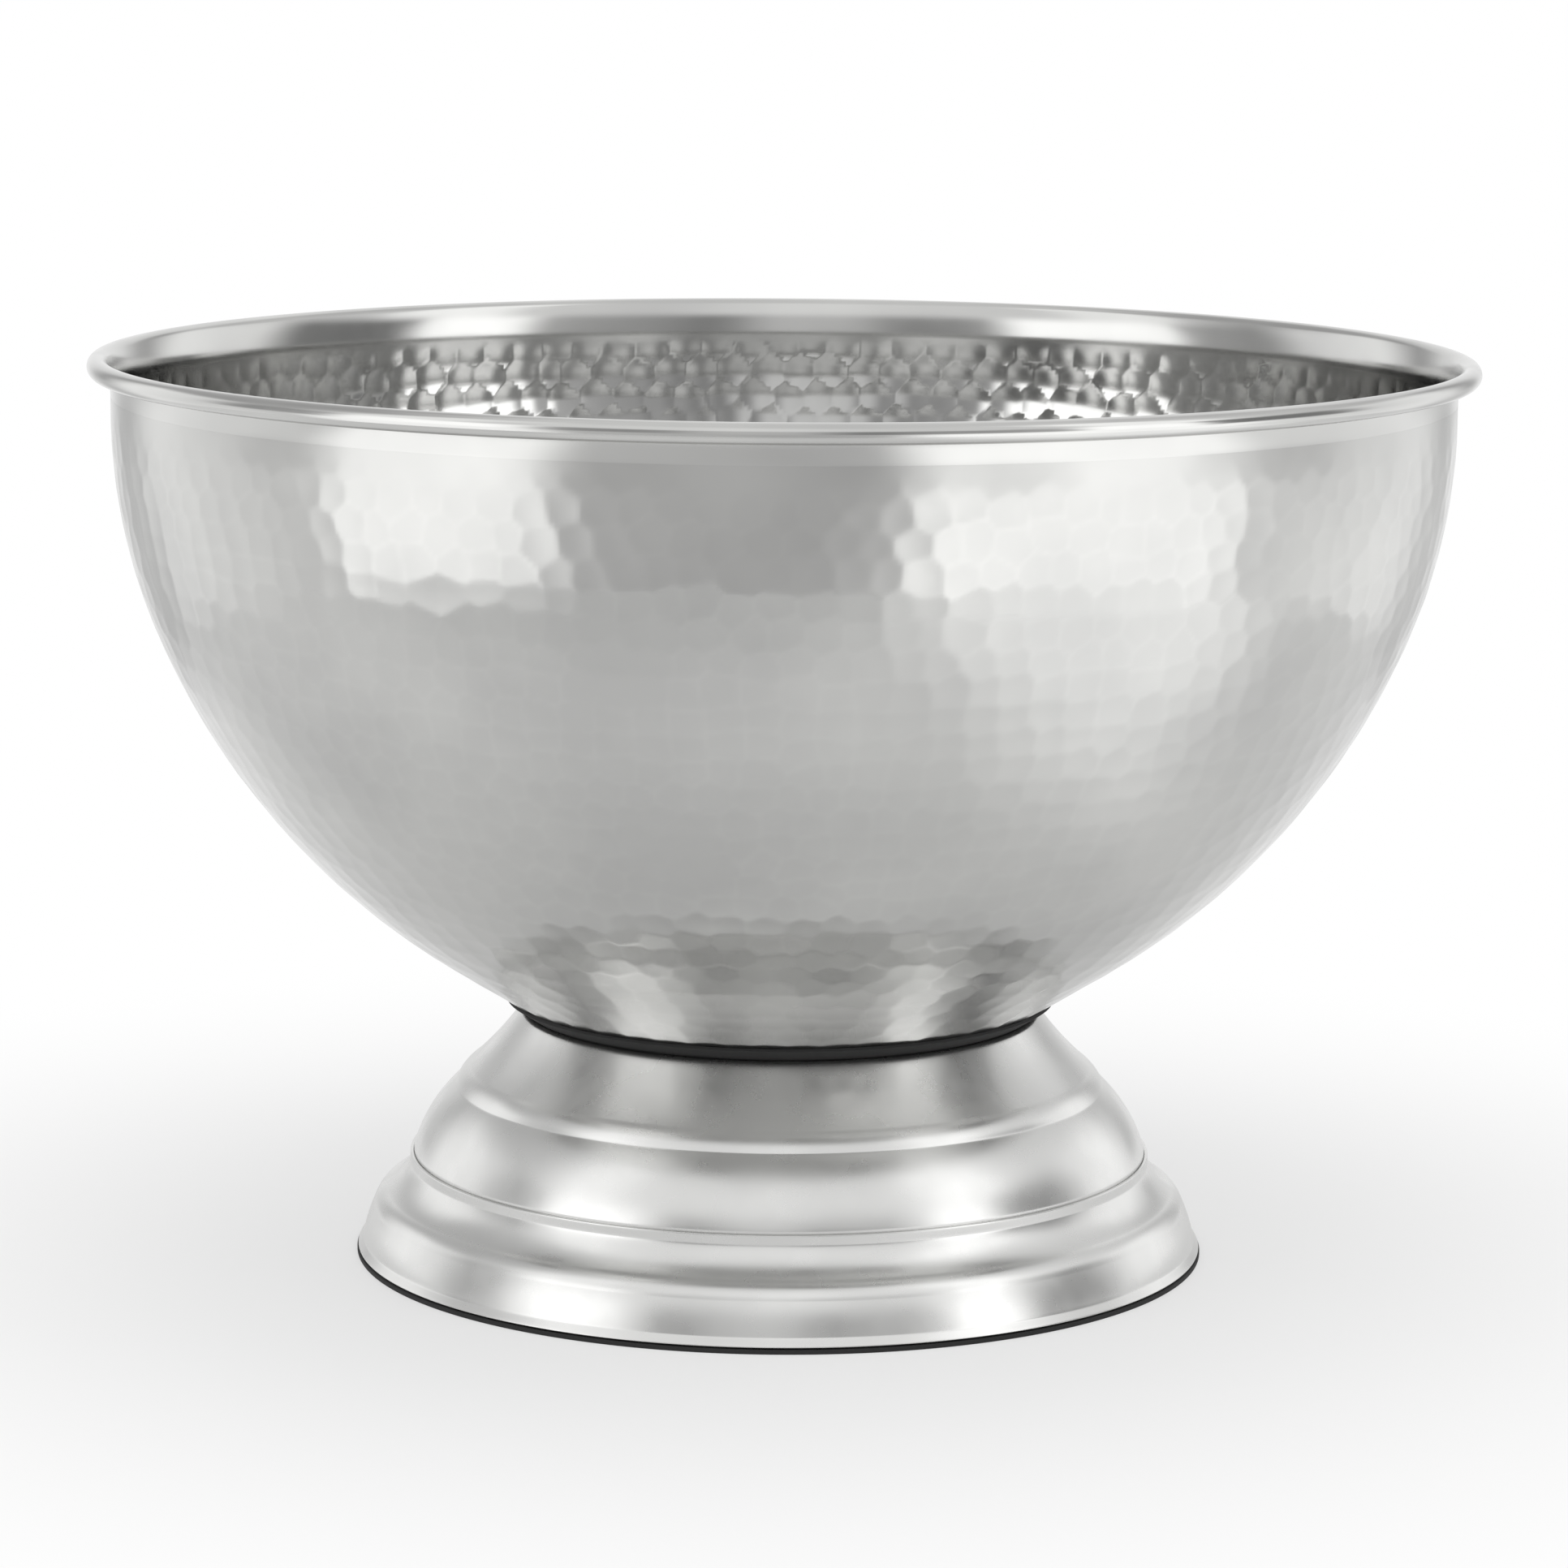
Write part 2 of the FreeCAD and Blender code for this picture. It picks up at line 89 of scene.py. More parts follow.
@dataclass
class Outline:
    """A chain of lines and arcs in the plane of radius and height."""

    start: tuple[float, float]
    corners: list[np.ndarray] = field(init=False)
    spans: list[tuple[float, bool] | None] = field(init=False)

    def __post_init__(self) -> None:
        """Put the first corner down."""
        self.corners = [np.array(self.start, float)]
        self.spans = []

    def line_to(self, radius: float, height: float) -> "Outline":
        """Go straight on to a corner.

        Args:
            radius: the corner's distance from the axis.
            height: the corner's height.

        Returns:
            This outline, so that calls can follow each other.
        """
        self.corners.append(np.array((radius, height), float))
        self.spans.append(None)
        return self

    def arc_to(self, radius: float, height: float, size: float, large: bool = False) -> "Outline":
        """Go on to a corner along an arc.

        Args:
            radius: the corner's distance from the axis.
            height: the corner's height.
            size: the arc's radius, positive where the arc turns anticlockwise.
            large: whether the arc is the longer of the two that fit.

        Returns:
            This outline, so that calls can follow each other.
        """
        self.corners.append(np.array((radius, height), float))
        self.spans.append((size, large))
        return self

    def close(self) -> "Outline":
        """Go straight back to the first corner."""
        return self.line_to(*self.corners[0])

    @staticmethod
    def centre(start: np.ndarray, end: np.ndarray, size: float, large: bool) -> np.ndarray:
        """The centre of an arc: from the chord's middle, square to it, by what Pythagoras leaves.

        Args:
            start: where the arc starts.
            end: where the arc ends.
            size: its radius, positive where it turns anticlockwise.
            large: whether it is the longer arc.

        Returns:
            The centre as (radius, height).
        """
        chord = end - start
        length = float(np.hypot(*chord))
        reach = math.sqrt(max(size * size - length * length / 4, 0.0))
        left = np.array((-chord[1], chord[0])) / length
        return (start + end) / 2 + left * reach * math.copysign(1.0, size) * (-1.0 if large else 1.0)

    def ends(self) -> list[tuple[np.ndarray, np.ndarray]]:
        """The unit vector to the left of each span, at its start and at its end."""
        found = []
        for span, start, end in zip(self.spans, self.corners, self.corners[1:]):
            if span is None:
                chord = (end - start) / np.hypot(*(end - start))
                left = np.array((-chord[1], chord[0]))
                found.append((left, left))
                continue
            middle = self.centre(start, end, *span)
            found.append(((middle - start) / span[0], (middle - end) / span[0]))
        return found

    def thicken(self, sheet: float) -> "Outline":
        """Close the chain into a sheet: a second skin beside it, mitred at each corner.

        Args:
            sheet: the sheet's thickness, positive to the left of the chain.

        Returns:
            This outline, closed.
        """
        ends = self.ends()
        before = [ends[0][0]] + [last for _, last in ends]
        after = [first for first, _ in ends] + [ends[-1][1]]
        skin = [
            corner + sheet * (one + two) / (1 + one @ two)
            for corner, one, two in zip(self.corners, before, after)
        ]
        spans = list(self.spans)
        self.line_to(*skin[-1])
        for span, corner in zip(reversed(spans), reversed(skin[:-1])):
            if span is None:
                self.line_to(*corner)
            else:
                self.arc_to(*corner, sheet - span[0], span[1])
        return self.close()

    def trace(self, step: float) -> np.ndarray:
        """Points along the chain, spaced evenly on each span.

        Args:
            step: the widest spacing.

        Returns:
            An array of (radius, height), the last corner included.
        """
        runs = []
        for span, start, end in zip(self.spans, self.corners, self.corners[1:]):
            if span is None:
                count = max(2, math.ceil(np.hypot(*(end - start)) / step))
                part = np.linspace(0.0, 1.0, count, endpoint=False)[:, None]
                runs.append(start + part * (end - start))
                continue
            size = span[0]
            middle = self.centre(start, end, *span)
            first = math.atan2(start[1] - middle[1], start[0] - middle[0])
            last = math.atan2(end[1] - middle[1], end[0] - middle[0])
            turn = (last - first) % math.tau if size > 0 else -((first - last) % math.tau)
            count = max(2, math.ceil(abs(turn * size) / step))
            angle = first + turn * np.linspace(0.0, 1.0, count, endpoint=False)
            runs.append(middle + abs(size) * np.stack((np.cos(angle), np.sin(angle)), 1))
        return np.concatenate(runs + [self.corners[-1][None]])


@dataclass(frozen=True)
class Wear:
    """How a section's corners are worn round, and how finely it is laid out in rows."""

    crease: float
    row: float
    turn: float


@dataclass
class Section:
    """Points along an outline with the unit vector square to it at each."""

    STEPS_IN_CREASE = 3
    REACH = 12
    FEWEST_ROWS = 12

    points: np.ndarray
    normals: np.ndarray
    closed: bool

    @classmethod
    def softened(cls, outline: Outline, wear: Wear) -> "Section":
        """Sample an outline with its corners worn round.

        The chain is laid out at even steps and averaged with a bell-shaped weight, which rounds
        the corners and leaves straight runs as they are. Rows are then placed at equal steps of
        length / row + turning / turn, so they crowd where the chain bends. The vector square to
        the chain points to its right, outwards for a chain that runs anticlockwise.

        Args:
            outline: the chain, closed, or open from axis to axis.
            wear: its crease is about the radius of a worn corner, its row the longest row, and its
                turn the most that a row may turn, in degrees.

        Returns:
            The section, running anticlockwise.
        """
        chain = outline.trace(wear.crease / 2)
        closed = bool(np.allclose(chain[0], chain[-1]))
        if closed and np.sum(chain[:-1, 0] * chain[1:, 1] - chain[1:, 0] * chain[:-1, 1]) < 0:
            chain = chain[::-1]
        length = np.concatenate(([0.0], np.cumsum(np.hypot(*np.diff(chain, axis=0).T))))
        step = wear.crease / cls.STEPS_IN_CREASE
        count = int(length[-1] / step)
        even = np.linspace(0.0, length[-1], count + 1)
        chain = np.stack([np.interp(even, length, chain[:, i]) for i in (0, 1)], 1)
        reach = cls.REACH
        weight = np.exp(-0.5 * (np.arange(-reach, reach + 1) / cls.STEPS_IN_CREASE) ** 2)
        weight /= weight.sum()
        if closed:
            padded = np.concatenate((chain[-1 - reach : -1], chain, chain[1 : reach + 1]))
        else:
            head = 2 * chain[0] - chain[reach:0:-1]
            tail = 2 * chain[-1] - chain[-2 : -2 - reach : -1]
            padded = np.concatenate((head, chain, tail))
        chain = np.stack([np.convolve(padded[:, i], weight, "valid") for i in (0, 1)], 1)
        ahead = np.gradient(chain, axis=0)
        if closed:
            ahead[0] = ahead[-1] = chain[1] - chain[-2]
        ahead /= np.hypot(*ahead.T)[:, None]
        bend = np.abs(np.diff(np.unwrap(np.arctan2(ahead[:, 1], ahead[:, 0]))))
        stride = np.hypot(*np.diff(chain, axis=0).T)
        measure = np.concatenate(([0.0], np.cumsum(stride / wear.row + bend / math.radians(wear.turn))))
        rows = np.linspace(0.0, measure[-1], max(cls.FEWEST_ROWS, math.ceil(measure[-1])) + 1)
        if closed:
            rows = rows[:-1]
        points = np.stack([np.interp(rows, measure, chain[:, i]) for i in (0, 1)], 1)
        ahead = np.stack([np.interp(rows, measure, ahead[:, i]) for i in (0, 1)], 1)
        ahead /= np.hypot(*ahead.T)[:, None]
        return cls(points, np.stack((ahead[:, 1], -ahead[:, 0]), 1), closed)


# ---------------------------------------------------------------- meshes


def write_mesh(
    name: str, points: np.ndarray, faces: list[np.ndarray], normals: np.ndarray | None = None
) -> Piece:
    """Put arrays into a new mesh object at the origin.

    Args:
        name: the piece's name.
        points: the vertices, one row of x, y, z each.
        faces: arrays of vertex numbers, one array for each number of corners.
        normals: the shading vector of each vertex, or None to let the faces give it.

    Returns:
        The object, linked to the scene.
    """
    mesh = bpy.data.meshes.new(name)
    corners = np.concatenate([face.ravel() for face in faces]).astype(np.int32)
    sizes = np.concatenate([np.full(len(face), face.shape[1]) for face in faces])
    starts = np.concatenate(([0], np.cumsum(sizes)[:-1])).astype(np.int32)
    mesh.vertices.add(len(points))
    mesh.vertices.foreach_set("co", np.ascontiguousarray(points, np.float32).ravel())
    mesh.loops.add(len(corners))
    mesh.loops.foreach_set("vertex_index", corners)
    mesh.polygons.add(len(sizes))
    mesh.polygons.foreach_set("loop_start", starts)
    mesh.polygons.foreach_set("use_smooth", np.ones(len(sizes), bool))
    mesh.update(calc_edges=True)
    if normals is not None:
        mesh.normals_split_custom_set_from_vertices(normals)
    piece = bpy.data.objects.new(name, mesh)
    bpy.context.scene.collection.objects.link(piece)
    return piece


def lattice(rows: np.ndarray, closed: bool, poles: bool) -> tuple[np.ndarray, list[np.ndarray]]:
    """Join rings of points into faces.

    Rings follow each other along the section, and point k of a ring is joined to point k + 1 and
    to point k of the next ring. With poles, the first and the last ring are each one point.

    Args:
        rows: points as (ring, place in the ring, x y z).
        closed: whether the last ring joins the first.
        poles: whether the first and the last ring shrink to a point.

    Returns:
        The points as a plain list, and the faces that join them.
    """
    count = rows.shape[1]
    inner = rows[1:-1] if poles else rows
    points = inner.reshape(-1, 3)
    ring = np.arange(count)
    following = np.roll(ring, -1)
    lower = np.arange(len(inner) if closed else len(inner) - 1)[:, None] * count
    upper = np.roll(np.arange(len(inner))[:, None] * count, -1, axis=0)[: len(lower)]
    quads = np.stack((lower + ring, lower + following, upper + following, upper + ring), -1)
    faces = [quads.reshape(-1, 4)]
    if poles:
        first = np.full(count, len(points))
        last = first + 1
        top = (len(inner) - 1) * count
        faces.append(np.stack((first, following, ring), 1))
        faces.append(np.stack((top + ring, top + following, last), 1))
        points = np.concatenate((points, rows[:1, 0], rows[-1:, 0]))
    return points, faces


def spun(radius: np.ndarray, height: np.ndarray, angle: np.ndarray) -> np.ndarray:
    """Rings round the axis: (radius cos a, radius sin a, height).

    Args:
        radius: one value for each ring, or for each ring and angle.
        height: the same.
        angle: the angles a.

    Returns:
        The points as (ring, angle, x y z).
    """
    whole = np.broadcast_shapes(radius.shape, height.shape, angle[None].shape)
    return np.stack((radius * np.cos(angle), radius * np.sin(angle), np.broadcast_to(height, whole)), -1)


def turned(name: str, section: Section, columns: int) -> Piece:
    """Carry a section once round the axis.

    A point is (radius cos a, radius sin a, height) for the angles a of the columns.

    Args:
        name: the piece's name.
        section: the section.
        columns: how many steps go round.

    Returns:
        The piece.
    """
    angle = np.linspace(0.0, math.tau, columns, endpoint=False)
    poles = not section.closed
    points, faces = lattice(spun(section.points[:, :1], section.points[:, 1:], angle), section.closed, poles)
    normals = spun(section.normals[:, :1], section.normals[:, 1:], angle)
    flat = normals[1:-1].reshape(-1, 3) if poles else normals.reshape(-1, 3)
    if poles:
        ends = np.sign(section.normals[[0, -1], 1])
        flat = np.concatenate((flat, [(0.0, 0.0, ends[0]), (0.0, 0.0, ends[1])]))
    return write_mesh(name, points, faces, flat)


def dress(piece: Piece, finish: "Finish", body: Body, slot: Slot, *nodes: str) -> Piece:
    """Give a piece its finish, its body and the nodes that it stands for.

    Args:
        piece: the piece.
        finish: its surface.
        body: the body that it rides on.
        slot: the record's finish that it shows; not used.
        nodes: the nodes of the frame that it replaces.

    Returns:
        The piece.
    """
    piece.data.materials.clear()
    piece.data.materials.append(finish.material())
    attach(piece, body.value)
    if nodes:
        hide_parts(*nodes)
    LOG.info("%s: %d faces on %s", piece.name, len(piece.data.polygons), body.value)
    return piece


# ---------------------------------------------------------------- finishes


class Nodes:
    """A node tree, built one node at a time."""

    def __init__(self, owner: bpy.types.Material | bpy.types.World) -> None:
        """Start an empty tree.

        Args:
            owner: the material or world that the tree belongs to.
        """
        owner.use_nodes = True
        self.tree = owner.node_tree
        self.tree.nodes.clear()

    def add(self, kind: str, **settings: object) -> bpy.types.Node:
        """Add a node. A setting is a property, or an input where its name starts with in_.

        Args:
            kind: the node's type.
            settings: property values, and input values or output sockets for inputs.

        Returns:
            The node.
        """
        node = self.tree.nodes.new(kind)
        for key, value in settings.items():
            if not key.startswith("in_"):
                setattr(node, key, value)
                continue
            name = key[3:]
            socket = node.inputs[int(name)] if name.isdigit() else node.inputs[name.replace("_", " ")]
            if isinstance(value, Socket):
                self.tree.links.new(value, socket)
            else:
                socket.default_value = value
        return node

    def noise(self, place: Socket, scale: float, detail: float) -> Socket:
        """The value of a noise at a place, with lumps about 1 / scale across."""
        made = self.add("ShaderNodeTexNoise", in_Vector=place, in_Scale=scale, in_Detail=detail)
        return made.outputs["Fac"]

    def spread(self, value: Socket, low: float, high: float) -> Socket:
        """A noise's middle range, 0.3 to 0.7, laid out evenly from low to high."""
        return self.ranged("LINEAR", value, (0.3, 0.7), (low, high))

    def blend(self, value: Socket, one: tuple, two: tuple) -> Socket:
        """A colour between two, by a noise's middle range, 0.35 to 0.65.

        Args:
            value: the noise.
            one: the colour under that range.
            two: the colour over it.

        Returns:
            The colour.
        """
        made = self.add("ShaderNodeValToRGB", in_Fac=value)
        for stop, place, colour in zip(made.color_ramp.elements, (0.35, 0.65), (one, two)):
            stop.position = place
            stop.color = (*colour, 1.0)
        return made.outputs["Color"]

    def sum(self, operation: str, one: Socket | float, two: Socket | float) -> Socket:
        """What an operation makes of two numbers."""
        return self.add("ShaderNodeMath", operation=operation, in_0=one, in_1=two).outputs[0]

    def rise(self, value: Socket, span: Span, levels: Span = (0.0, 1.0)) -> Socket:
        """A smooth step from the first level to the second while the value crosses the span."""
        return self.ranged("SMOOTHSTEP", value, span, levels)

    def ranged(self, easing: str, value: Socket, span: Span, levels: Span) -> Socket:
        """A value that crosses a span, laid out between two levels.

        Args:
            easing: how it goes from one level to the other.
            value: the value.
            span: the value's start and end.
            levels: the level at each of them.

        Returns:
            The level, held at its ends outside the span.
        """
        made = self.add("ShaderNodeMapRange", interpolation_type=easing, in_Value=value)
        for name, number in zip(("From Min", "From Max", "To Min", "To Max"), (*span, *levels)):
            made.inputs[name].default_value = number
        return made.outputs["Result"]

    def mixed(self, share: Socket, one: Socket | float, two: Socket | float) -> Socket:
        """One number shading into another by a share."""
        return self.add("ShaderNodeMix", in_Factor=share, in_A=one, in_B=two).outputs["Result"]

    def lookers(self) -> tuple[Socket, Socket]:
        """Whether what looks is the camera, and whether it is a mirror or clear glass."""
        path = self.add("ShaderNodeLightPath").outputs
        return path["Is Camera Ray"], self.sum("MAXIMUM", path["Is Glossy Ray"], path["Is Transmission Ray"])


@dataclass(frozen=True)
class Finish:
    """A surface finish. Lengths are in metres; scales are lumps to the metre."""

    name: str
    tone: tuple[float, float, float]
    shade: tuple[float, float, float]
    roughness: float
    roughness_spread: float
    cloud_scale: float
    grain_scale: float
    grain_depth: float

    def material(self) -> bpy.types.Material:
        """The finish as a material, made once."""
        made = bpy.data.materials.get(self.name)
        if made is None:
            made = bpy.data.materials.new(self.name)
            nodes = Nodes(made)
            nodes.add("ShaderNodeOutputMaterial", in_Surface=self.surface(nodes))
        return made

    def gloss(self, nodes: Nodes, wear: Socket) -> Socket:
        """The roughness, its spread either way following a noise."""
        middle, either = self.roughness, self.roughness_spread
        return nodes.spread(wear, middle - either, middle + either)

    def surface(self, nodes: Nodes) -> Socket:
        """Build the node tree and return its surface."""
        raise NotImplementedError


@dataclass(frozen=True)
class Metal(Finish):
    """Bare metal: cloudy tone and gloss, with fine polishing lines."""

    RIDGE = "ridge"
    RIDGE_SPAN = (0.0, 0.6)
    RIDGE_PAINTED_SHEEN = (-0.015, 0.035)
    RIDGE_GLOSS = (-0.02, 0.06)
    WEAR_TO_CLOUD = 3.7

    grain: Grain = Grain.TURNED

    def surface(self, nodes: Nodes) -> Socket:
        """Tone and roughness each follow a soft noise. On hammered metal the ridges are smoother than
        the marks, and a painted sheen makes them brighter. The bump is a fine noise, read at
        (radius, height) where the lines run round the axis, and in space where they run nowhere.

        Args:
            nodes: the material's tree.

        Returns:
            The surface.
        """
        place = nodes.add("ShaderNodeTexCoord").outputs["Object"]
        cloud = nodes.noise(place, self.cloud_scale, 3.0)
        wear = nodes.noise(place, self.cloud_scale * self.WEAR_TO_CLOUD, 5.0)
        where = place
        if self.grain is Grain.TURNED:
            axes = nodes.add("ShaderNodeSeparateXYZ", in_Vector=place).outputs
            flat = nodes.add("ShaderNodeCombineXYZ", in_X=axes["X"], in_Y=axes["Y"])
            far = nodes.add("ShaderNodeVectorMath", operation="LENGTH", in_0=flat.outputs[0])
            where = nodes.add("ShaderNodeCombineXYZ", in_X=far.outputs["Value"], in_Y=axes["Z"]).outputs[0]
        if self.grain is Grain.HAMMERED:
            ridge = nodes.add("ShaderNodeAttribute", attribute_name=self.RIDGE).outputs["Fac"]
            # Painted sheen: the ridges between the hammer marks are painted brighter.
            cloud = nodes.sum("ADD", cloud, nodes.rise(ridge, self.RIDGE_SPAN, self.RIDGE_PAINTED_SHEEN))
            wear = nodes.sum("SUBTRACT", wear, nodes.rise(ridge, self.RIDGE_SPAN, self.RIDGE_GLOSS))
        lines = nodes.noise(where, self.grain_scale, 2.0)
        bump = nodes.add("ShaderNodeBump", in_Height=lines, in_Distance=self.grain_depth, in_Strength=1.0)
        surface = nodes.add(
            "ShaderNodeBsdfPrincipled",
            in_Metallic=1.0,
            in_Base_Color=nodes.blend(cloud, self.shade, self.tone),
            in_Roughness=self.gloss(nodes, wear),
            in_Normal=bump.outputs["Normal"],
        )
        return surface.outputs["BSDF"]


@dataclass(frozen=True)
class Rubber(Finish):
    """Matt black rubber with a fine moulded grain and a little dust."""

    def surface(self, nodes: Nodes) -> Socket:
        """Tone and roughness follow soft noises, and the bump follows a fine one.

        Args:
            nodes: the material's tree.

        Returns:
            The surface.
        """
        place = nodes.add("ShaderNodeTexCoord").outputs["Object"]
        dust = nodes.noise(place, self.cloud_scale, 4.0)
        grain = nodes.noise(place, self.grain_scale, 3.0)
        bump = nodes.add("ShaderNodeBump", in_Height=grain, in_Distance=self.grain_depth, in_Strength=1.0)
        surface = nodes.add(
            "ShaderNodeBsdfPrincipled",
            in_Base_Color=nodes.blend(dust, self.tone, self.shade),
            in_Roughness=self.gloss(nodes, dust),
            in_Normal=bump.outputs["Normal"],
        )
        return surface.outputs["BSDF"]


# The outside and the inside are one steel: the outside's darker tone is painted shade and the inside's
# brighter tone is painted light.
POLISHED_OUTSIDE = Metal(
    "hammered_outside", tone=(0.54, 0.54, 0.528), shade=(0.465, 0.465, 0.457),
    roughness=0.16, roughness_spread=0.04, cloud_scale=16.0,
    grain_scale=900.0, grain_depth=4e-7, grain=Grain.HAMMERED,
)
POLISHED_INSIDE = Metal(
    "hammered_inside", tone=(0.63, 0.63, 0.62), shade=(0.53, 0.53, 0.523),
    roughness=0.10, roughness_spread=0.03, cloud_scale=18.0,
    grain_scale=900.0, grain_depth=3e-7, grain=Grain.HAMMERED,
)
POLISHED_LIP = Metal(
    "polished_lip", tone=(0.56, 0.56, 0.548), shade=(0.50, 0.50, 0.492),
    roughness=0.15, roughness_spread=0.03, cloud_scale=16.0,
    grain_scale=900.0, grain_depth=3e-7,
)
POLISHED_FOOT = Metal(
    "polished_foot", tone=(0.70, 0.70, 0.69), shade=(0.64, 0.64, 0.63),
    roughness=0.28, roughness_spread=0.04, cloud_scale=20.0,
    grain_scale=900.0, grain_depth=3e-7,
)
MILL_STEEL = Metal(
    "mill_steel", tone=(0.52, 0.52, 0.51), shade=(0.43, 0.43, 0.42),
    roughness=0.34, roughness_spread=0.08, cloud_scale=60.0,
    grain_scale=1800.0, grain_depth=3e-6,
)
ZINC_PLATE = Metal(
    "zinc_plate", tone=(0.62, 0.63, 0.62), shade=(0.55, 0.54, 0.47),
    roughness=0.27, roughness_spread=0.07, cloud_scale=140.0,
    grain_scale=2400.0, grain_depth=1.5e-6, grain=Grain.TUMBLED,
)
BLACK_RUBBER = Rubber(
    "black_rubber", tone=(0.006, 0.006, 0.006), shade=(0.014, 0.013, 0.013),
    roughness=0.6, roughness_spread=0.1, cloud_scale=90.0,
    grain_scale=3000.0, grain_depth=1e-5,
)


# ---------------------------------------------------------------- hammer marks


@dataclass(frozen=True)
class HammerMarks:
    """Rows of shallow round dents that meet in low ridges."""

    NEAREST = (-1, 0, 1, 2)
    HALF_STEP = (0.35, 0.65)

    pitch: float
    row_pitch: float
    dent_radius: float
    ridge: float
    jitter: float
    seed: int

    def field(
        self, angle: np.ndarray, run: np.ndarray, profile_run: np.ndarray, profile_radius: np.ndarray
    ) -> tuple[np.ndarray, np.ndarray, np.ndarray, np.ndarray]:
        """Height of the marked skin over the smooth one, its slopes, and where its ridges are.

        Row i of marks lies at the run (i + 1/2) row_pitch and has as many marks as its girth holds
        at one pitch, half a step on from the row before. A mark is the bowl
        distance^2 / (2 dent_radius) - its own depth. The skin is the soft minimum of the marks
        near a point, -ridge log(sum exp(-mark / ridge)), and its slopes are the marks' own slopes
        weighted with the same exponentials. A ridge is where no one mark has all the weight:
        1 - greatest weight / sum of weights.

        Args:
            angle: the columns' angles.
            run: the rows' distances along the profile.
            profile_run: distances along the whole profile.
            profile_radius: the profile's distance from the axis at each of them.

        Returns:
            Height, slope along the angle, slope along the run and ridge, each as (row, column).
        """
        chance = np.random.default_rng(self.seed)
        radius = np.maximum(np.interp(run, profile_run, profile_radius), 1e-5)
        rows = int(profile_run[-1] / self.row_pitch) + 5
        line = (np.arange(rows) - 1.5) * self.row_pitch
        girth = math.tau * np.interp(line, profile_run, profile_radius)
        widest = int(girth.max() / self.pitch) + 2
        count = np.maximum(1, np.round(girth / self.pitch)).astype(int)
        shift = chance.uniform(*self.HALF_STEP, rows).cumsum() * math.tau / count
        side = chance.normal(0.0, self.jitter * self.pitch, (rows, widest))
        along = chance.normal(0.0, self.jitter * self.row_pitch, (rows, widest))
        depth = chance.normal(0.0, 0.5 * self.ridge, (rows, widest))
        near = np.floor(run / self.row_pitch + 1.5).astype(int)
        total = np.zeros((len(run), len(angle)))
        lean = np.zeros_like(total)
        fall = np.zeros_like(total)
        most = np.zeros_like(total)
        for step in self.NEAREST:
            row = np.clip(near + step, 0, rows - 1)[:, None]
            width = math.tau / count[row]
            first = np.floor((angle - shift[row]) / width).astype(int)
            for place in self.NEAREST:
                mark = (first + place) % count[row]
                across = (angle - shift[row] - (first + place) * width) * radius[:, None] - side[row, mark]
                down = run[:, None] - line[row] - along[row, mark]
                height = (across**2 + down**2) / (2 * self.dent_radius) - depth[row, mark]
                weight = np.exp(-height / self.ridge)
                total += weight
                lean += weight * across / self.dent_radius
                fall += weight * down / self.dent_radius
                np.maximum(most, weight, out=most)
        height = -self.ridge * np.log(total)
        return height, lean / total, fall / total, 1 - most / total


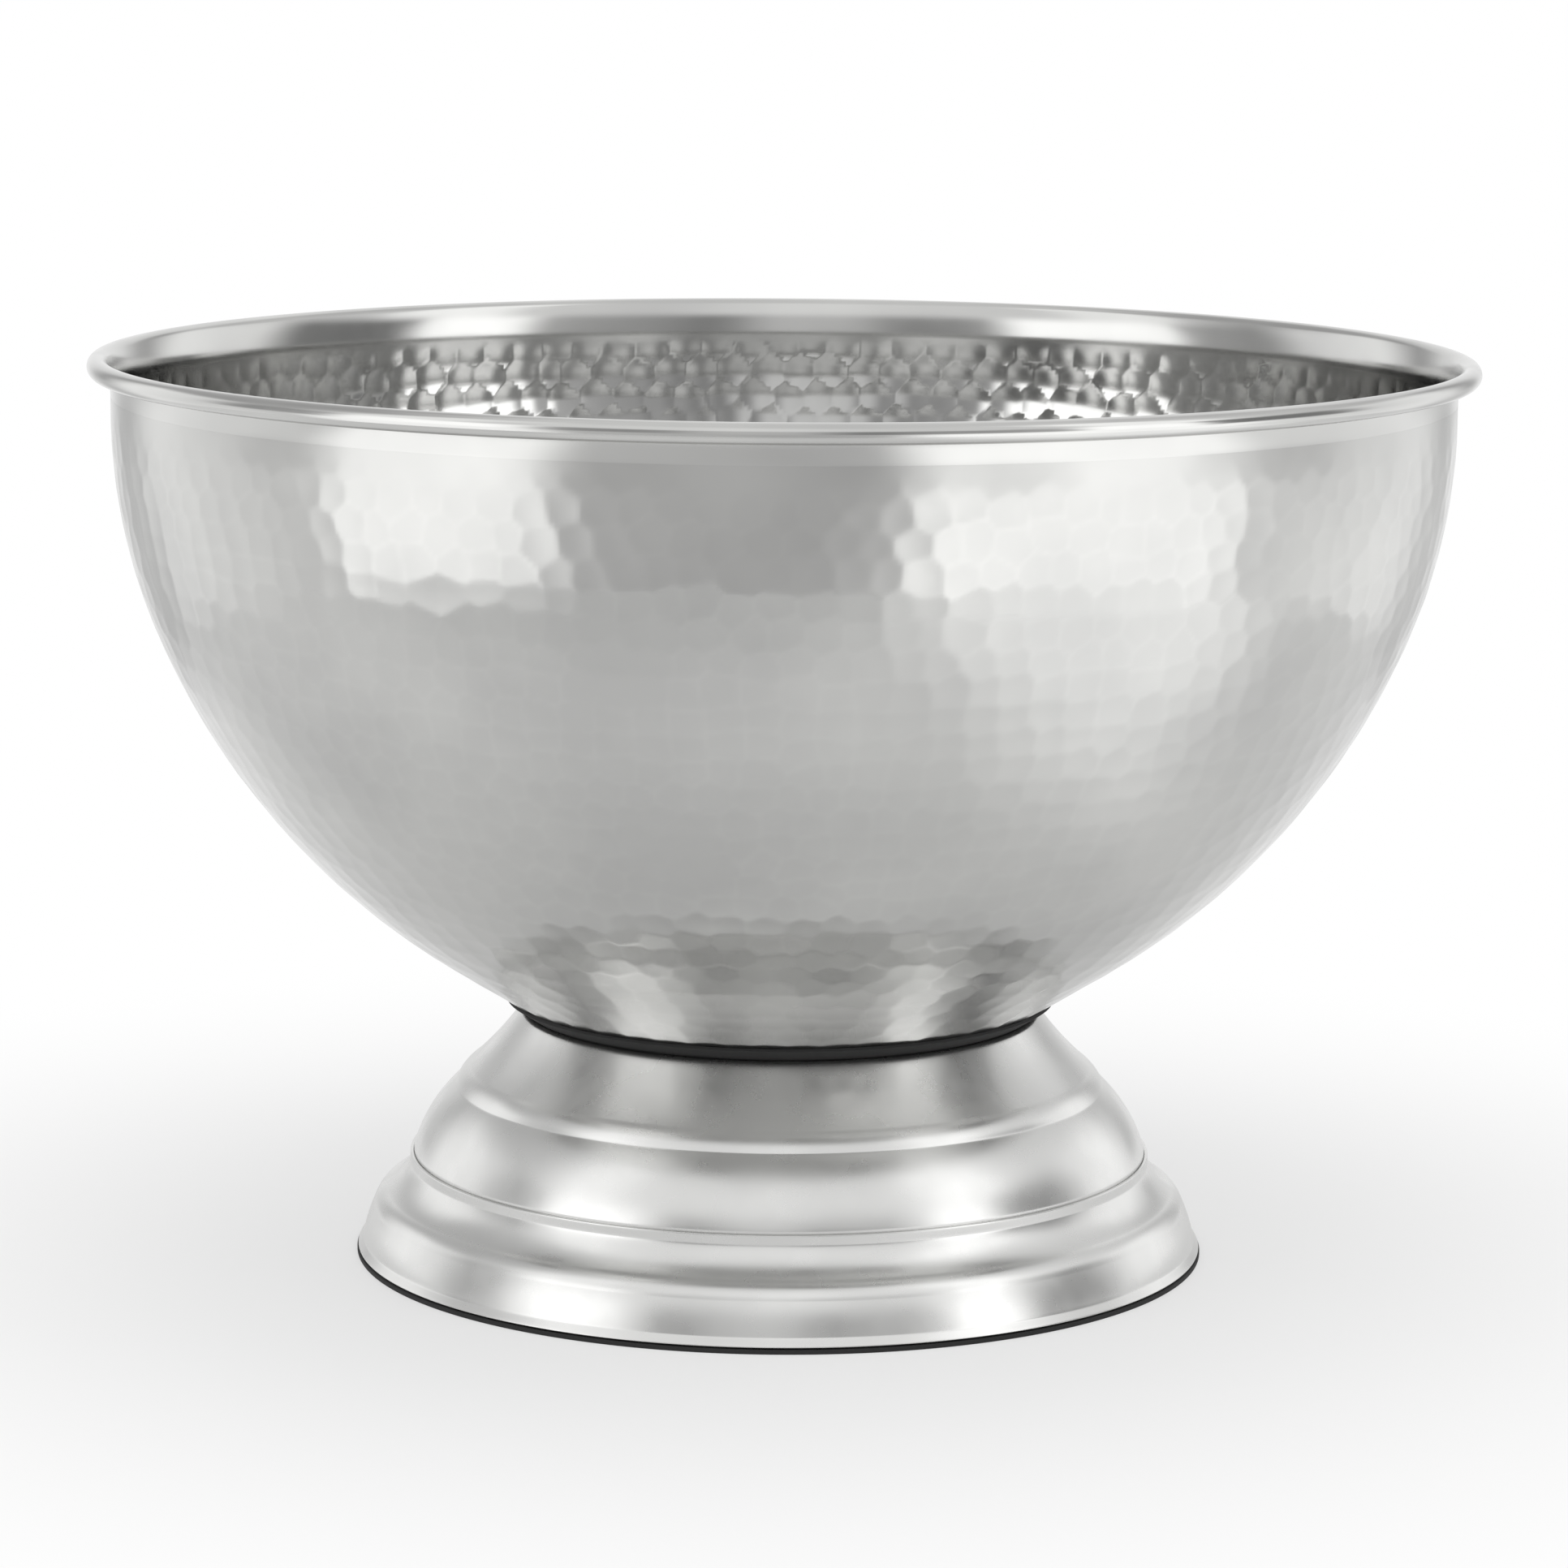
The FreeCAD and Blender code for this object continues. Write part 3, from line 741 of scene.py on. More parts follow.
@dataclass
class Skin:
    """One marked skin of the bowl: a profile that runs down from the smooth band to the floor."""

    STEP = 0.0002
    BACK_ROWS = 12

    outline: Outline
    marks: HammerMarks
    outwards: float
    sheet: float
    fade: float

    def __post_init__(self) -> None:
        """Lay the profile out at fine even steps, with the vector square to it."""
        chain = self.outline.trace(self.STEP)
        length = np.concatenate(([0.0], np.cumsum(np.hypot(*np.diff(chain, axis=0).T))))
        self.reach = float(length[-1])
        self.run = np.arange(0.0, self.reach, self.STEP)
        self.chain = np.stack([np.interp(self.run, length, chain[:, i]) for i in (0, 1)], 1)
        ahead = np.gradient(self.chain, axis=0)
        ahead /= np.hypot(*ahead.T)[:, None]
        self.ahead = ahead
        self.square = self.outwards * np.stack((-ahead[:, 1], ahead[:, 0]), 1)

    def at(self, run: np.ndarray, what: np.ndarray) -> np.ndarray:
        """A two-column property of the profile at some runs."""
        return np.stack([np.interp(run, self.run, what[:, i]) for i in (0, 1)], 1)

    def run_at(self, radius: float) -> float:
        """How far down the profile a radius lies."""
        return float(np.interp(-radius, -self.chain[:, 0], self.run))

    def strip(self, name: str, start: float, end: float, row: float, columns: int) -> Piece:
        """A closed half-thick shell between two places on the profile.

        The front is the smooth skin moved along its square vector n by the marks' height h. The
        front's shading vector is n - (slope round) e - (slope along) t. The back is the sheet's
        middle surface, in a few rows that share the front's first and last ring.

        Args:
            name: the piece's name.
            start: the run where it begins.
            end: the run where it ends; the profile's reach closes it with a pole.
            row: the longest row.
            columns: how many steps go round.

        Returns:
            The piece.
        """
        pole = end >= self.reach
        stop = min(end, float(self.run[-1]))
        run = np.linspace(start, stop, max(4, math.ceil((stop - start) / row)) + 1)
        angle = np.linspace(0.0, math.tau, columns, endpoint=False)
        flat, square, ahead = (self.at(run, what) for what in (self.chain, self.square, self.ahead))
        height, lean, fall, ridge = self.marks.field(angle, run, self.run, self.chain[:, 0])
        share = np.clip(run / self.fade, 0.0, 1.0)[:, None]
        share = share * share * (3 - 2 * share)
        lift = flat[..., None] + square[..., None] * (share * (height - self.marks.ridge))[:, None]
        shade = square[..., None] - ahead[..., None] * (share * fall)[:, None]
        front = spun(lift[:, 0], lift[:, 1], angle)
        front_shade = spun(shade[:, 0], shade[:, 1], angle)
        front_shade += (share * lean)[..., None] * np.stack((np.sin(angle), -np.cos(angle), 0 * angle), -1)
        front_shade /= np.linalg.norm(front_shade, axis=-1, keepdims=True)
        inner = np.linspace(start, stop, self.BACK_ROWS)
        middle = self.at(inner, self.chain) - self.at(inner, self.square) * self.sheet / 2
        inward = -self.at(inner, self.square)
        back = spun(middle[:, :1], middle[:, 1:], angle)[::-1]
        back_shade = spun(inward[:, :1], inward[:, 1:], angle)[::-1]
        if pole:
            front[-1] = front[-1].mean(axis=0)
            back[0] = back[0].mean(axis=0)
        rows = np.concatenate((back, front))
        shade = np.concatenate((back_shade, front_shade))
        ridge = np.concatenate((np.zeros((len(back), columns)), share * ridge))[..., None]
        if self.outwards > 0:
            rows, shade, ridge = rows[::-1], shade[::-1], ridge[::-1]
        points, faces = lattice(rows, not pole, pole)
        piece = write_mesh(name, points, faces, self.flat(shade, pole))
        # The ridge value drives both the burnished ridges' lower roughness and their painted sheen.
        worn = piece.data.attributes.new(Metal.RIDGE, "FLOAT", "POINT")
        worn.data.foreach_set("value", self.flat(ridge, pole).astype(np.float32).ravel())
        return piece

    @staticmethod
    def flat(rows: np.ndarray, pole: bool) -> np.ndarray:
        """Values in the order of a lattice's points: its rings, then its two poles if it has them.

        Args:
            rows: the values as (ring, place in the ring, number).
            pole: whether the first and the last ring are poles.

        Returns:
            The values, one row for each point.
        """
        if not pole:
            return rows.reshape(-1, rows.shape[-1])
        return np.concatenate((rows[1:-1].reshape(-1, rows.shape[-1]), rows[:1, 0], rows[-1:, 0]))


# ---------------------------------------------------------------- the bowl


@dataclass
class Bowl:
    """The spun bowl: smooth rolled lip over two hammered skins."""

    rim_flare: float = 0.0063
    band_drop: float = 0.011
    shoulder_drop: float = 0.0153
    shoulder_turn: float = math.radians(22.7)
    belly_foot_radius: float = 0.09494
    belly_foot_height: float = 0.084485
    seat_slope: float = math.radians(32.4)
    bottom_arc: float = 0.060
    sheet: float = 0.001
    bead_radius: float = 0.0028
    bead_end: float = math.radians(214.0)
    joint_radius: float = 0.0700
    tongue: float = 0.0005
    tongue_taper: float = 1 / 8
    lip_wear: Wear = Wear(0.00012, 0.0012, 9.0)
    lip_columns: int = 600
    outside_marks: HammerMarks = HammerMarks(0.0092, 0.0078, 0.100, 4.2e-5, 0.12, 11)
    outside_fade: float = 0.014
    inside_marks: HammerMarks = HammerMarks(0.0098, 0.0074, 0.064, 3.0e-5, 0.09, 29)
    inside_fade: float = 0.004
    wall_row: float = 0.00125
    wall_columns: int = 960
    outside_floor: tuple[float, int] = (0.0025, 240)
    inside_floor: tuple[float, int] = (0.0012, 480)

    def __post_init__(self) -> None:
        """Take the rim and the floor from the frame, and work out the two arcs of the wall.

        The shoulder's and the belly's radii solve two sums: run and fall of both arcs together
        make the way from the wall down to the cone that the foot fits against.
        """
        low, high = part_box("bowl")
        self.rim_radius, self.rim_height, self.bottom = high.x, high.z, low.z
        self.wall = self.rim_radius - self.rim_flare
        self.shoulder = self.rim_height - self.shoulder_drop
        run, fall = self.wall - self.belly_foot_radius, self.shoulder - self.belly_foot_height
        run_one, fall_one = 1 - math.cos(self.shoulder_turn), math.sin(self.shoulder_turn)
        run_two = math.cos(self.shoulder_turn) - math.sin(self.seat_slope)
        fall_two = math.cos(self.seat_slope) - math.sin(self.shoulder_turn)
        share = fall_one * run_two - run_one * fall_two
        self.shoulder_arc = (fall * run_two - run * fall_two) / share
        self.belly_arc = (run * fall_one - fall * run_one) / share

    def profile(self, inset: float) -> Outline:
        """The skin from the smooth band down to the middle of the floor.

        Args:
            inset: how far inside the outer skin it lies.

        Returns:
            The open outline.
        """
        wall = self.wall - inset
        shoulder, belly = self.shoulder_arc - inset, self.belly_arc - inset
        bottom, floor = self.bottom_arc - inset, self.bottom + inset
        slope = self.seat_slope
        foot = (
            self.belly_foot_radius - inset * math.sin(slope),
            self.belly_foot_height + inset * math.cos(slope),
        )
        low = floor + bottom * (1 - math.cos(slope))
        near = foot[0] - (foot[1] - low) / math.tan(slope)
        outline = Outline((wall, self.rim_height - self.band_drop))
        outline.line_to(wall, self.shoulder)
        outline.arc_to(
            wall - shoulder * (1 - math.cos(self.shoulder_turn)),
            self.shoulder - shoulder * math.sin(self.shoulder_turn),
            -shoulder,
        )
        outline.arc_to(*foot, -belly)
        outline.line_to(near, low)
        outline.arc_to(near - bottom * math.sin(slope), floor, -bottom)
        return outline.line_to(0.0, floor)

    def lip(self) -> Section:
        """The band, the flare and the bead rolled over the wire.

        Under the band the sheet runs on as a short tongue between the two hammered skins: its
        radius r becomes r + taper (middle - r) at the tongue's end.
        """
        inner = self.wall - self.sheet
        centre, top = self.rim_radius - self.bead_radius, self.rim_height - self.bead_radius
        rise = top - (self.rim_height - self.band_drop)
        turn = 2 * math.atan((centre - inner - self.bead_radius) / rise)
        outline = Outline(
            (
                centre + self.bead_radius * math.cos(self.bead_end),
                top + self.bead_radius * math.sin(self.bead_end),
            )
        )
        outline.arc_to(
            centre - self.bead_radius * math.cos(turn),
            top + self.bead_radius * math.sin(turn),
            self.bead_radius,
            large=True,
        )
        outline.arc_to(inner, top - rise, self.bead_radius + rise / math.sin(turn))
        outline.line_to(inner, top - rise - self.tongue)
        section = Section.softened(outline.thicken(self.sheet), self.lip_wear)
        radius, height = section.points.T
        below = np.clip((top - rise - height) / self.tongue, 0.0, 1.0)
        section.points[:, 0] += (inner + self.sheet / 2 - radius) * below * self.tongue_taper
        return section

    def build(self) -> None:
        """Make the lip and both skins, and give them their finish."""
        lip = turned("bowl_lip", self.lip(), self.lip_columns)
        dress(lip, POLISHED_LIP, Body.STANDING, Slot.POLISHED, "bowl")
        outside = Skin(self.profile(0.0), self.outside_marks, 1.0, self.sheet, self.outside_fade)
        inside = Skin(self.profile(self.sheet), self.inside_marks, -1.0, self.sheet, self.inside_fade)
        joint = outside.run_at(self.joint_radius)
        for side, skin, floor, finish in (
            ("outside", outside, self.outside_floor, POLISHED_OUTSIDE),
            ("inside", inside, self.inside_floor, POLISHED_INSIDE),
        ):
            for part, start, end, row, columns in (
                ("upper", 0.0, joint / 2, self.wall_row, self.wall_columns),
                ("lower", joint / 2, joint, self.wall_row, self.wall_columns),
                ("floor", joint, skin.reach, *floor),
            ):
                piece = skin.strip(f"bowl_{side}_{part}", start, end, row, columns)
                dress(piece, finish, Body.STANDING, Slot.POLISHED, "bowl")


# ---------------------------------------------------------------- the foot


@dataclass
class Foot:
    """Two pressings lapped together, the black ring under the bowl and the ring it stands on."""

    sheet: float = 0.001
    collar_radius: float = 0.0729
    collar_bend: float = 0.0018
    collar_lean: float = math.radians(35.0)
    flange_width: float = 0.0129
    seal_inset: float = 0.0099
    seal_reveal: float = 0.0031
    seal_thickness: float = 0.0009
    seal_gap: float = 0.00003
    neck_arc: float = 0.095
    neck_run: float = 0.0135
    neck_height: float = 0.0522
    ring_arc: float = 0.011
    ring_run: float = 0.0041
    ring_fall: float = 0.0050
    tier_arc: float = 0.039
    tier_run: float = 0.0117
    tier_height: float = 0.0290
    lap_gap: float = 0.00005
    lap_reveal: float = 0.0008
    lap_depth: float = 0.0067
    lap_collar: float = 0.0028
    cove_arc: float = 0.016
    cove_run: float = 0.00635
    cove_fall: float = 0.0078
    ridge_arc: float = 0.007
    ridge_run: float = 0.0039
    ridge_fall: float = 0.0044
    skirt_arc: float = 0.040
    skirt_height: float = 0.004
    hem_run: float = 0.0045
    hem_slope: float = math.radians(35.0)
    edge_height: float = 0.0012
    edge_gap: float = 0.00005
    edge_lip_gap: float = 0.0004
    edge_lip_thickness: float = 0.002
    edge_lip_height: float = 0.005
    edge_overhang: float = 0.0002
    pressing_wear: Wear = Wear(0.00022, 0.0012, 6.0)
    seal_wear: Wear = Wear(0.00012, 0.0012, 10.0)
    edge_wear: Wear = Wear(0.00015, 0.0015, 10.0)
    neck_columns: int = 400
    base_columns: int = 440
    ring_columns: int = 360

    def under(self, bowl: Bowl, radius: float, distance: float) -> float:
        """Height of a cone a square distance under the bowl's own cone.

        Args:
            bowl: the bowl that stands on the foot.
            radius: where the height is wanted.
            distance: how far below the bowl's skin, square to it.

        Returns:
            The height.
        """
        drop = distance / math.cos(bowl.seat_slope)
        return bowl.belly_foot_height - (bowl.belly_foot_radius - radius) * math.tan(bowl.seat_slope) - drop

    def neck(self, bowl: Bowl) -> Section:
        """Seat flange, collar, flared neck, half-round ring and bulging tier.

        Args:
            bowl: the bowl that the seat flange lies under.

        Returns:
            The pressing's section.
        """
        depth = 2 * self.seal_gap + self.seal_thickness
        slope = bowl.seat_slope
        bend = self.collar_radius - self.collar_bend * math.cos(self.collar_lean)
        start = bend - self.collar_bend * math.sin(slope)
        top = self.under(bowl, start, depth)
        flange = self.collar_radius - self.flange_width
        foot = self.collar_radius + self.neck_run
        outline = Outline((flange, self.under(bowl, flange, depth)))
        outline.line_to(start, top)
        outline.arc_to(
            self.collar_radius,
            top - self.collar_bend * (math.cos(slope) - math.sin(self.collar_lean)),
            -self.collar_bend,
        )
        outline.arc_to(foot, self.neck_height, self.neck_arc)
        outline.arc_to(foot + self.ring_run, self.neck_height - self.ring_fall, -self.ring_arc)
        tier = foot + self.ring_run + self.tier_run
        outline.arc_to(tier, self.tier_height, -self.tier_arc)
        outline.line_to(tier, self.tier_height - self.lap_reveal - self.lap_depth)
        return Section.softened(outline.thicken(-self.sheet), self.pressing_wear)

    def hem(self) -> tuple[float, float, float]:
        """The hem's radius and height, and the radius where the skirt meets it."""
        ridge = self.lap_radius() + self.cove_run + self.ridge_run
        radius = ridge + self.hem_run
        height = self.edge_height + self.edge_gap + self.sheet * math.sin(self.hem_slope)
        return radius, height, radius - (self.skirt_height - height) * math.tan(self.hem_slope)

    def lap_radius(self) -> float:
        """Outer radius of the collar that laps round the upper foot."""
        tier = self.collar_radius + self.neck_run + self.ring_run + self.tier_run
        return tier + self.lap_gap + self.sheet

    def base(self) -> Section:
        """Lapped collar, cove, ridge, skirt and flared hem."""
        radius, height, skirt = self.hem()
        lap = self.lap_radius()
        top = self.tier_height - self.lap_reveal
        cove = top - self.lap_collar - self.cove_fall
        outline = Outline((lap, top))
        outline.line_to(lap, top - self.lap_collar)
        outline.arc_to(lap + self.cove_run, cove, self.cove_arc)
        outline.arc_to(lap + self.cove_run + self.ridge_run, cove - self.ridge_fall, -self.ridge_arc)
        outline.arc_to(skirt, self.skirt_height, -self.skirt_arc)
        outline.line_to(radius, height)
        return Section.softened(outline.thicken(-self.sheet), self.pressing_wear)

    def seal(self, bowl: Bowl) -> Section:
        """The thin cone between bowl and foot.

        Args:
            bowl: the bowl that it lies against.

        Returns:
            The ring's section.
        """
        inner, outer = self.collar_radius - self.seal_inset, self.collar_radius + self.seal_reveal
        lean = self.seal_thickness * math.sin(bowl.seat_slope)
        low = self.seal_gap + self.seal_thickness
        outline = Outline((inner, self.under(bowl, inner, self.seal_gap)))
        outline.line_to(inner + lean, self.under(bowl, inner + lean, low))
        outline.line_to(outer + lean, self.under(bowl, outer + lean, low))
        outline.line_to(outer, self.under(bowl, outer, self.seal_gap))
        return Section.softened(outline.close(), self.seal_wear)

    def edge(self) -> Section:
        """The ring that the foot stands on, with the lip inside it."""
        radius, _, skirt = self.hem()
        lip = skirt - self.sheet - self.edge_lip_gap
        outline = Outline((lip - self.edge_lip_thickness, 0.0))
        outline.line_to(radius + self.edge_overhang, 0.0)
        outline.line_to(radius + self.edge_overhang, self.edge_height)
        outline.line_to(lip, self.edge_height)
        outline.line_to(lip, self.edge_lip_height)
        outline.line_to(lip - self.edge_lip_thickness, self.edge_lip_height)
        return Section.softened(outline.close(), self.edge_wear)

    def build(self, bowl: Bowl) -> None:
        """Make the foot's four rings.

        Args:
            bowl: the bowl that stands on them.
        """
        for node, section, columns, finish, slot in (
            ("foot_neck", self.neck(bowl), self.neck_columns, POLISHED_FOOT, Slot.POLISHED),
            ("foot_base", self.base(), self.base_columns, POLISHED_FOOT, Slot.POLISHED),
            ("seat_ring", self.seal(bowl), self.ring_columns, BLACK_RUBBER, Slot.RUBBER),
            ("base_edge_ring", self.edge(), self.ring_columns, BLACK_RUBBER, Slot.RUBBER),
        ):
            dress(turned(f"{node}_dressed", section, columns), finish, Body.STANDING, slot, node)


# ---------------------------------------------------------------- the fixing


@dataclass
class Fixing:
    """What holds the foot to the bowl: plate and threaded stud above, and the cup, the two washers
    and the wing nut that draw the foot up."""

    thread_pitch: float = 0.00125
    thread_depth: float = 0.00062
    thread_run_out: float = 0.0030
    thread_end: float = 0.0002
    stud_chamfer: float = 0.0008
    stud_flange: float = 0.0015
    stud_radius: float = 0.00395
    plate_chamfer: float = 0.0006
    cup_sheet: float = 0.002
    cup_gap: float = 0.00005
    cup_rim_inset: float = 0.0044
    cup_rim_width: float = 0.007
    cup_wall_run: float = 0.0075
    cup_hole: float = 0.0045
    washer_bore: float = 0.0043
    split: float = 0.0014
    split_lean: float = math.radians(25.0)
    nut_voxel: float = 0.00022
    nut_wear: tuple[float, int] = (0.6, 8)
    nut_bore: float = 0.00402
    plate_wear: Wear = Wear(0.00015, 0.0012, 10.0)
    stud_wear: Wear = Wear(0.00010, 0.00011, 15.0)
    cup_wear: Wear = Wear(0.0004, 0.0012, 6.0)
    washer_wear: Wear = Wear(0.00012, 0.0006, 12.0)
    plate_columns: int = 240
    stud_columns: int = 64
    cup_columns: int = 360
    washer_columns: int = 180
    split_columns: int = 96
    edge_angle: float = math.radians(50.0)

    def plate(self) -> Section:
        """The disc welded under the bowl's floor."""
        low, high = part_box("stud_plate")
        outline = Outline((0.0, low.z))
        outline.line_to(high.x - self.plate_chamfer, low.z)
        outline.line_to(high.x, low.z + self.plate_chamfer)
        outline.line_to(high.x, high.z)
        return Section.softened(outline.line_to(0.0, high.z), self.plate_wear)

    def stud(self) -> Piece:
        """The stud with its thread.

        The plain stud's section goes round the axis, and its radius is held to the thread's:
        stud radius - depth g, where g rises and falls in straight flanks with the phase
        height / pitch - angle / turn, is flat over a tenth of the pitch at crest and root, and
        runs out towards the flange.

        Returns:
            The piece.
        """
        low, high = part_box("weld_stud")
        shoulder = high.z - self.stud_flange
        outline = Outline((0.0, low.z))
        outline.line_to(self.stud_radius - self.stud_chamfer, low.z)
        outline.line_to(self.stud_radius, low.z + self.stud_chamfer)
        outline.line_to(self.stud_radius, shoulder)
        outline.line_to(high.x, shoulder)
        outline.line_to(high.x, high.z)
        section = Section.softened(outline.line_to(0.0, high.z), self.stud_wear)
        angle = np.linspace(0.0, math.tau, self.stud_columns, endpoint=False)
        radius, height = section.points[:, :1], section.points[:, 1:]
        phase = (height / self.thread_pitch - angle / math.tau) % 1.0
        groove = np.clip(1.25 * (1 - np.abs(2 * phase - 1)) - 0.125, 0.0, 1.0)
        groove *= np.clip((shoulder - height) / self.thread_run_out, 0.0, 1.0)
        cut = self.stud_radius - self.thread_depth * groove
        thread = np.where(height < shoulder - self.thread_end, cut, np.inf)
        points, faces = lattice(spun(np.minimum(radius, thread), height, angle), False, True)
        piece = write_mesh("weld_stud_dressed", points, faces)
        piece.data.set_sharp_from_angle(angle=self.edge_angle)
        return piece

    def cup(self, bowl: Bowl, foot: Foot) -> Section:
        """The pressed cup whose sloping rim bears up under the seat flange.

        Args:
            bowl: the bowl that the rim runs parallel to.
            foot: the foot whose flange lies between them.

        Returns:
            Its section.
        """
        depth = 2 * foot.seal_gap + foot.seal_thickness + foot.sheet + self.cup_gap
        rim = foot.collar_radius - self.cup_rim_inset
        seat = rim - self.cup_rim_width
        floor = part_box("clamp_cup")[0].z + self.cup_sheet
        outline = Outline((self.cup_hole, floor))
        outline.line_to(seat - self.cup_wall_run, floor)
        outline.line_to(seat, foot.under(bowl, seat, depth))
        outline.line_to(rim, foot.under(bowl, rim, depth))
        return Section.softened(outline.thicken(-self.cup_sheet), self.cup_wear)

    def washer(self, node: str) -> Section:
        """A flat ring with slightly worn edges, as high and wide as a node.

        Args:
            node: the node's name.

        Returns:
            The ring's section.
        """
        low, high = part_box(node)
        outline = Outline((self.washer_bore, low.z))
        outline.line_to(high.x, low.z).line_to(high.x, high.z).line_to(self.washer_bore, high.z)
        return Section.softened(outline.close(), self.washer_wear)

    def spring(self) -> Piece:
        """The split ring: its section goes from one face of the cut round to the other.

        The cut's two faces lean, so at radius r and height z a face lies at the angle whose sine
        is y / r, with y falling by tan(lean) for each step up.

        Returns:
            The piece.
        """
        section = self.washer("spring_washer")
        low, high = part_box("spring_washer")
        radius, height = section.points.T
        climb = (height + high.z - 2 * low.z) * math.tan(self.split_lean)
        first = np.arcsin((self.split / math.cos(self.split_lean) - self.split / 2 - climb) / radius)
        last = math.tau + np.arcsin((-self.split / 2 - climb) / radius)
        angle = first + np.linspace(0.0, 1.0, self.split_columns + 1)[:, None] * (last - first)
        level = np.broadcast_to(height, angle.shape)
        rows = np.stack((radius * np.cos(angle), radius * np.sin(angle), level), -1)
        ends = [np.broadcast_to(row.mean(axis=0), row.shape)[None] for row in (rows[0], rows[-1])]
        points, faces = lattice(np.concatenate((ends[0], rows, ends[1])), False, True)
        piece = write_mesh("spring_washer_dressed", points, [face[:, ::-1] for face in faces])
        piece.data.set_sharp_from_angle(angle=self.edge_angle)
        return piece

    def nut(self) -> Piece:
        """The wing nut as cast: the node's shape with its edges run together and its bore clear."""
        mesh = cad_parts["wing_nut"].data.copy()
        work = bmesh.new()
        work.from_mesh(mesh)
        bmesh.ops.remove_doubles(work, verts=work.verts, dist=1e-6)
        work.to_mesh(mesh)
        work.free()
        rough = bpy.data.objects.new("wing_nut_rough", mesh)
        bpy.context.scene.collection.objects.link(rough)
        remesh = rough.modifiers.new("cast", "REMESH")
        remesh.mode, remesh.voxel_size, remesh.use_smooth_shade = "VOXEL", self.nut_voxel, True
        smooth = rough.modifiers.new("worn", "SMOOTH")
        smooth.factor, smooth.iterations = self.nut_wear
        made = bpy.data.meshes.new_from_object(rough.evaluated_get(bpy.context.evaluated_depsgraph_get()))
        bpy.data.objects.remove(rough)
        made.name = "wing_nut_dressed"
        points = np.empty(3 * len(made.vertices), np.float32)
        made.vertices.foreach_get("co", points)
        points = points.reshape(-1, 3)
        far = np.maximum(np.hypot(points[:, 0], points[:, 1]), 1e-6)[:, None]
        points[:, :2] *= np.maximum(self.nut_bore / far, 1.0)
        made.vertices.foreach_set("co", points.ravel())
        made.update()
        piece = bpy.data.objects.new("wing_nut_dressed", made)
        bpy.context.scene.collection.objects.link(piece)
        return piece

    def build(self, bowl: Bowl, foot: Foot) -> None:
        """Make the fixing's pieces, and give the wire in the bowl's rim its finish.

        Args:
            bowl: the bowl.
            foot: its foot.
        """
        plate = turned("stud_plate_dressed", self.plate(), self.plate_columns)
        cup = turned("clamp_cup_dressed", self.cup(bowl, foot), self.cup_columns)
        washer = turned("flat_washer_dressed", self.washer("flat_washer"), self.washer_columns)
        for piece, finish, body, slot, node in (
            (plate, MILL_STEEL, Body.STANDING, Slot.PLAIN, "stud_plate"),
            (self.stud(), MILL_STEEL, Body.STANDING, Slot.PLAIN, "weld_stud"),
            (cup, MILL_STEEL, Body.CLAMP, Slot.PLAIN, "clamp_cup"),
            (washer, ZINC_PLATE, Body.CLAMP, Slot.PLATED, "flat_washer"),
            (self.spring(), ZINC_PLATE, Body.CLAMP, Slot.PLATED, "spring_washer"),
            (self.nut(), ZINC_PLATE, Body.NUT, Slot.PLATED, "wing_nut"),
        ):
            dress(piece, finish, body, slot, node)
        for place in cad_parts["rim_wire"].material_slots:
            place.material = MILL_STEEL.material()


# ---------------------------------------------------------------- the scene


@dataclass(frozen=True)
class Panels:
    """Light all round the room: pairs of azimuth in degrees and level, from behind the bowl past
    its left, the camera's side and its right to behind it again."""

    BRIGHTEST = 2.0

    levels: tuple[tuple[float, float], ...]

    def light(self, nodes: Nodes, turn: Socket) -> Socket:
        """The level at a share of the whole turn, easing from each pair to the next.

        Args:
            nodes: the world's tree.
            turn: the azimuth, 0 to 1 for -180 to 180 degrees.

        Returns:
            The level.
        """
        ramp = nodes.add("ShaderNodeValToRGB", in_Fac=turn)
        stops = ramp.color_ramp.elements
        ramp.color_ramp.interpolation = "EASE"
        for number, (azimuth, level) in enumerate(self.levels):
            stop = stops[number] if number < 2 else stops.new(1.0)
            stop.position = (azimuth + 180.0) / 360.0
            stop.color = (*(3 * (level / self.BRIGHTEST,)), 1.0)
        return nodes.sum("MULTIPLY", ramp.outputs["Color"], self.BRIGHTEST)


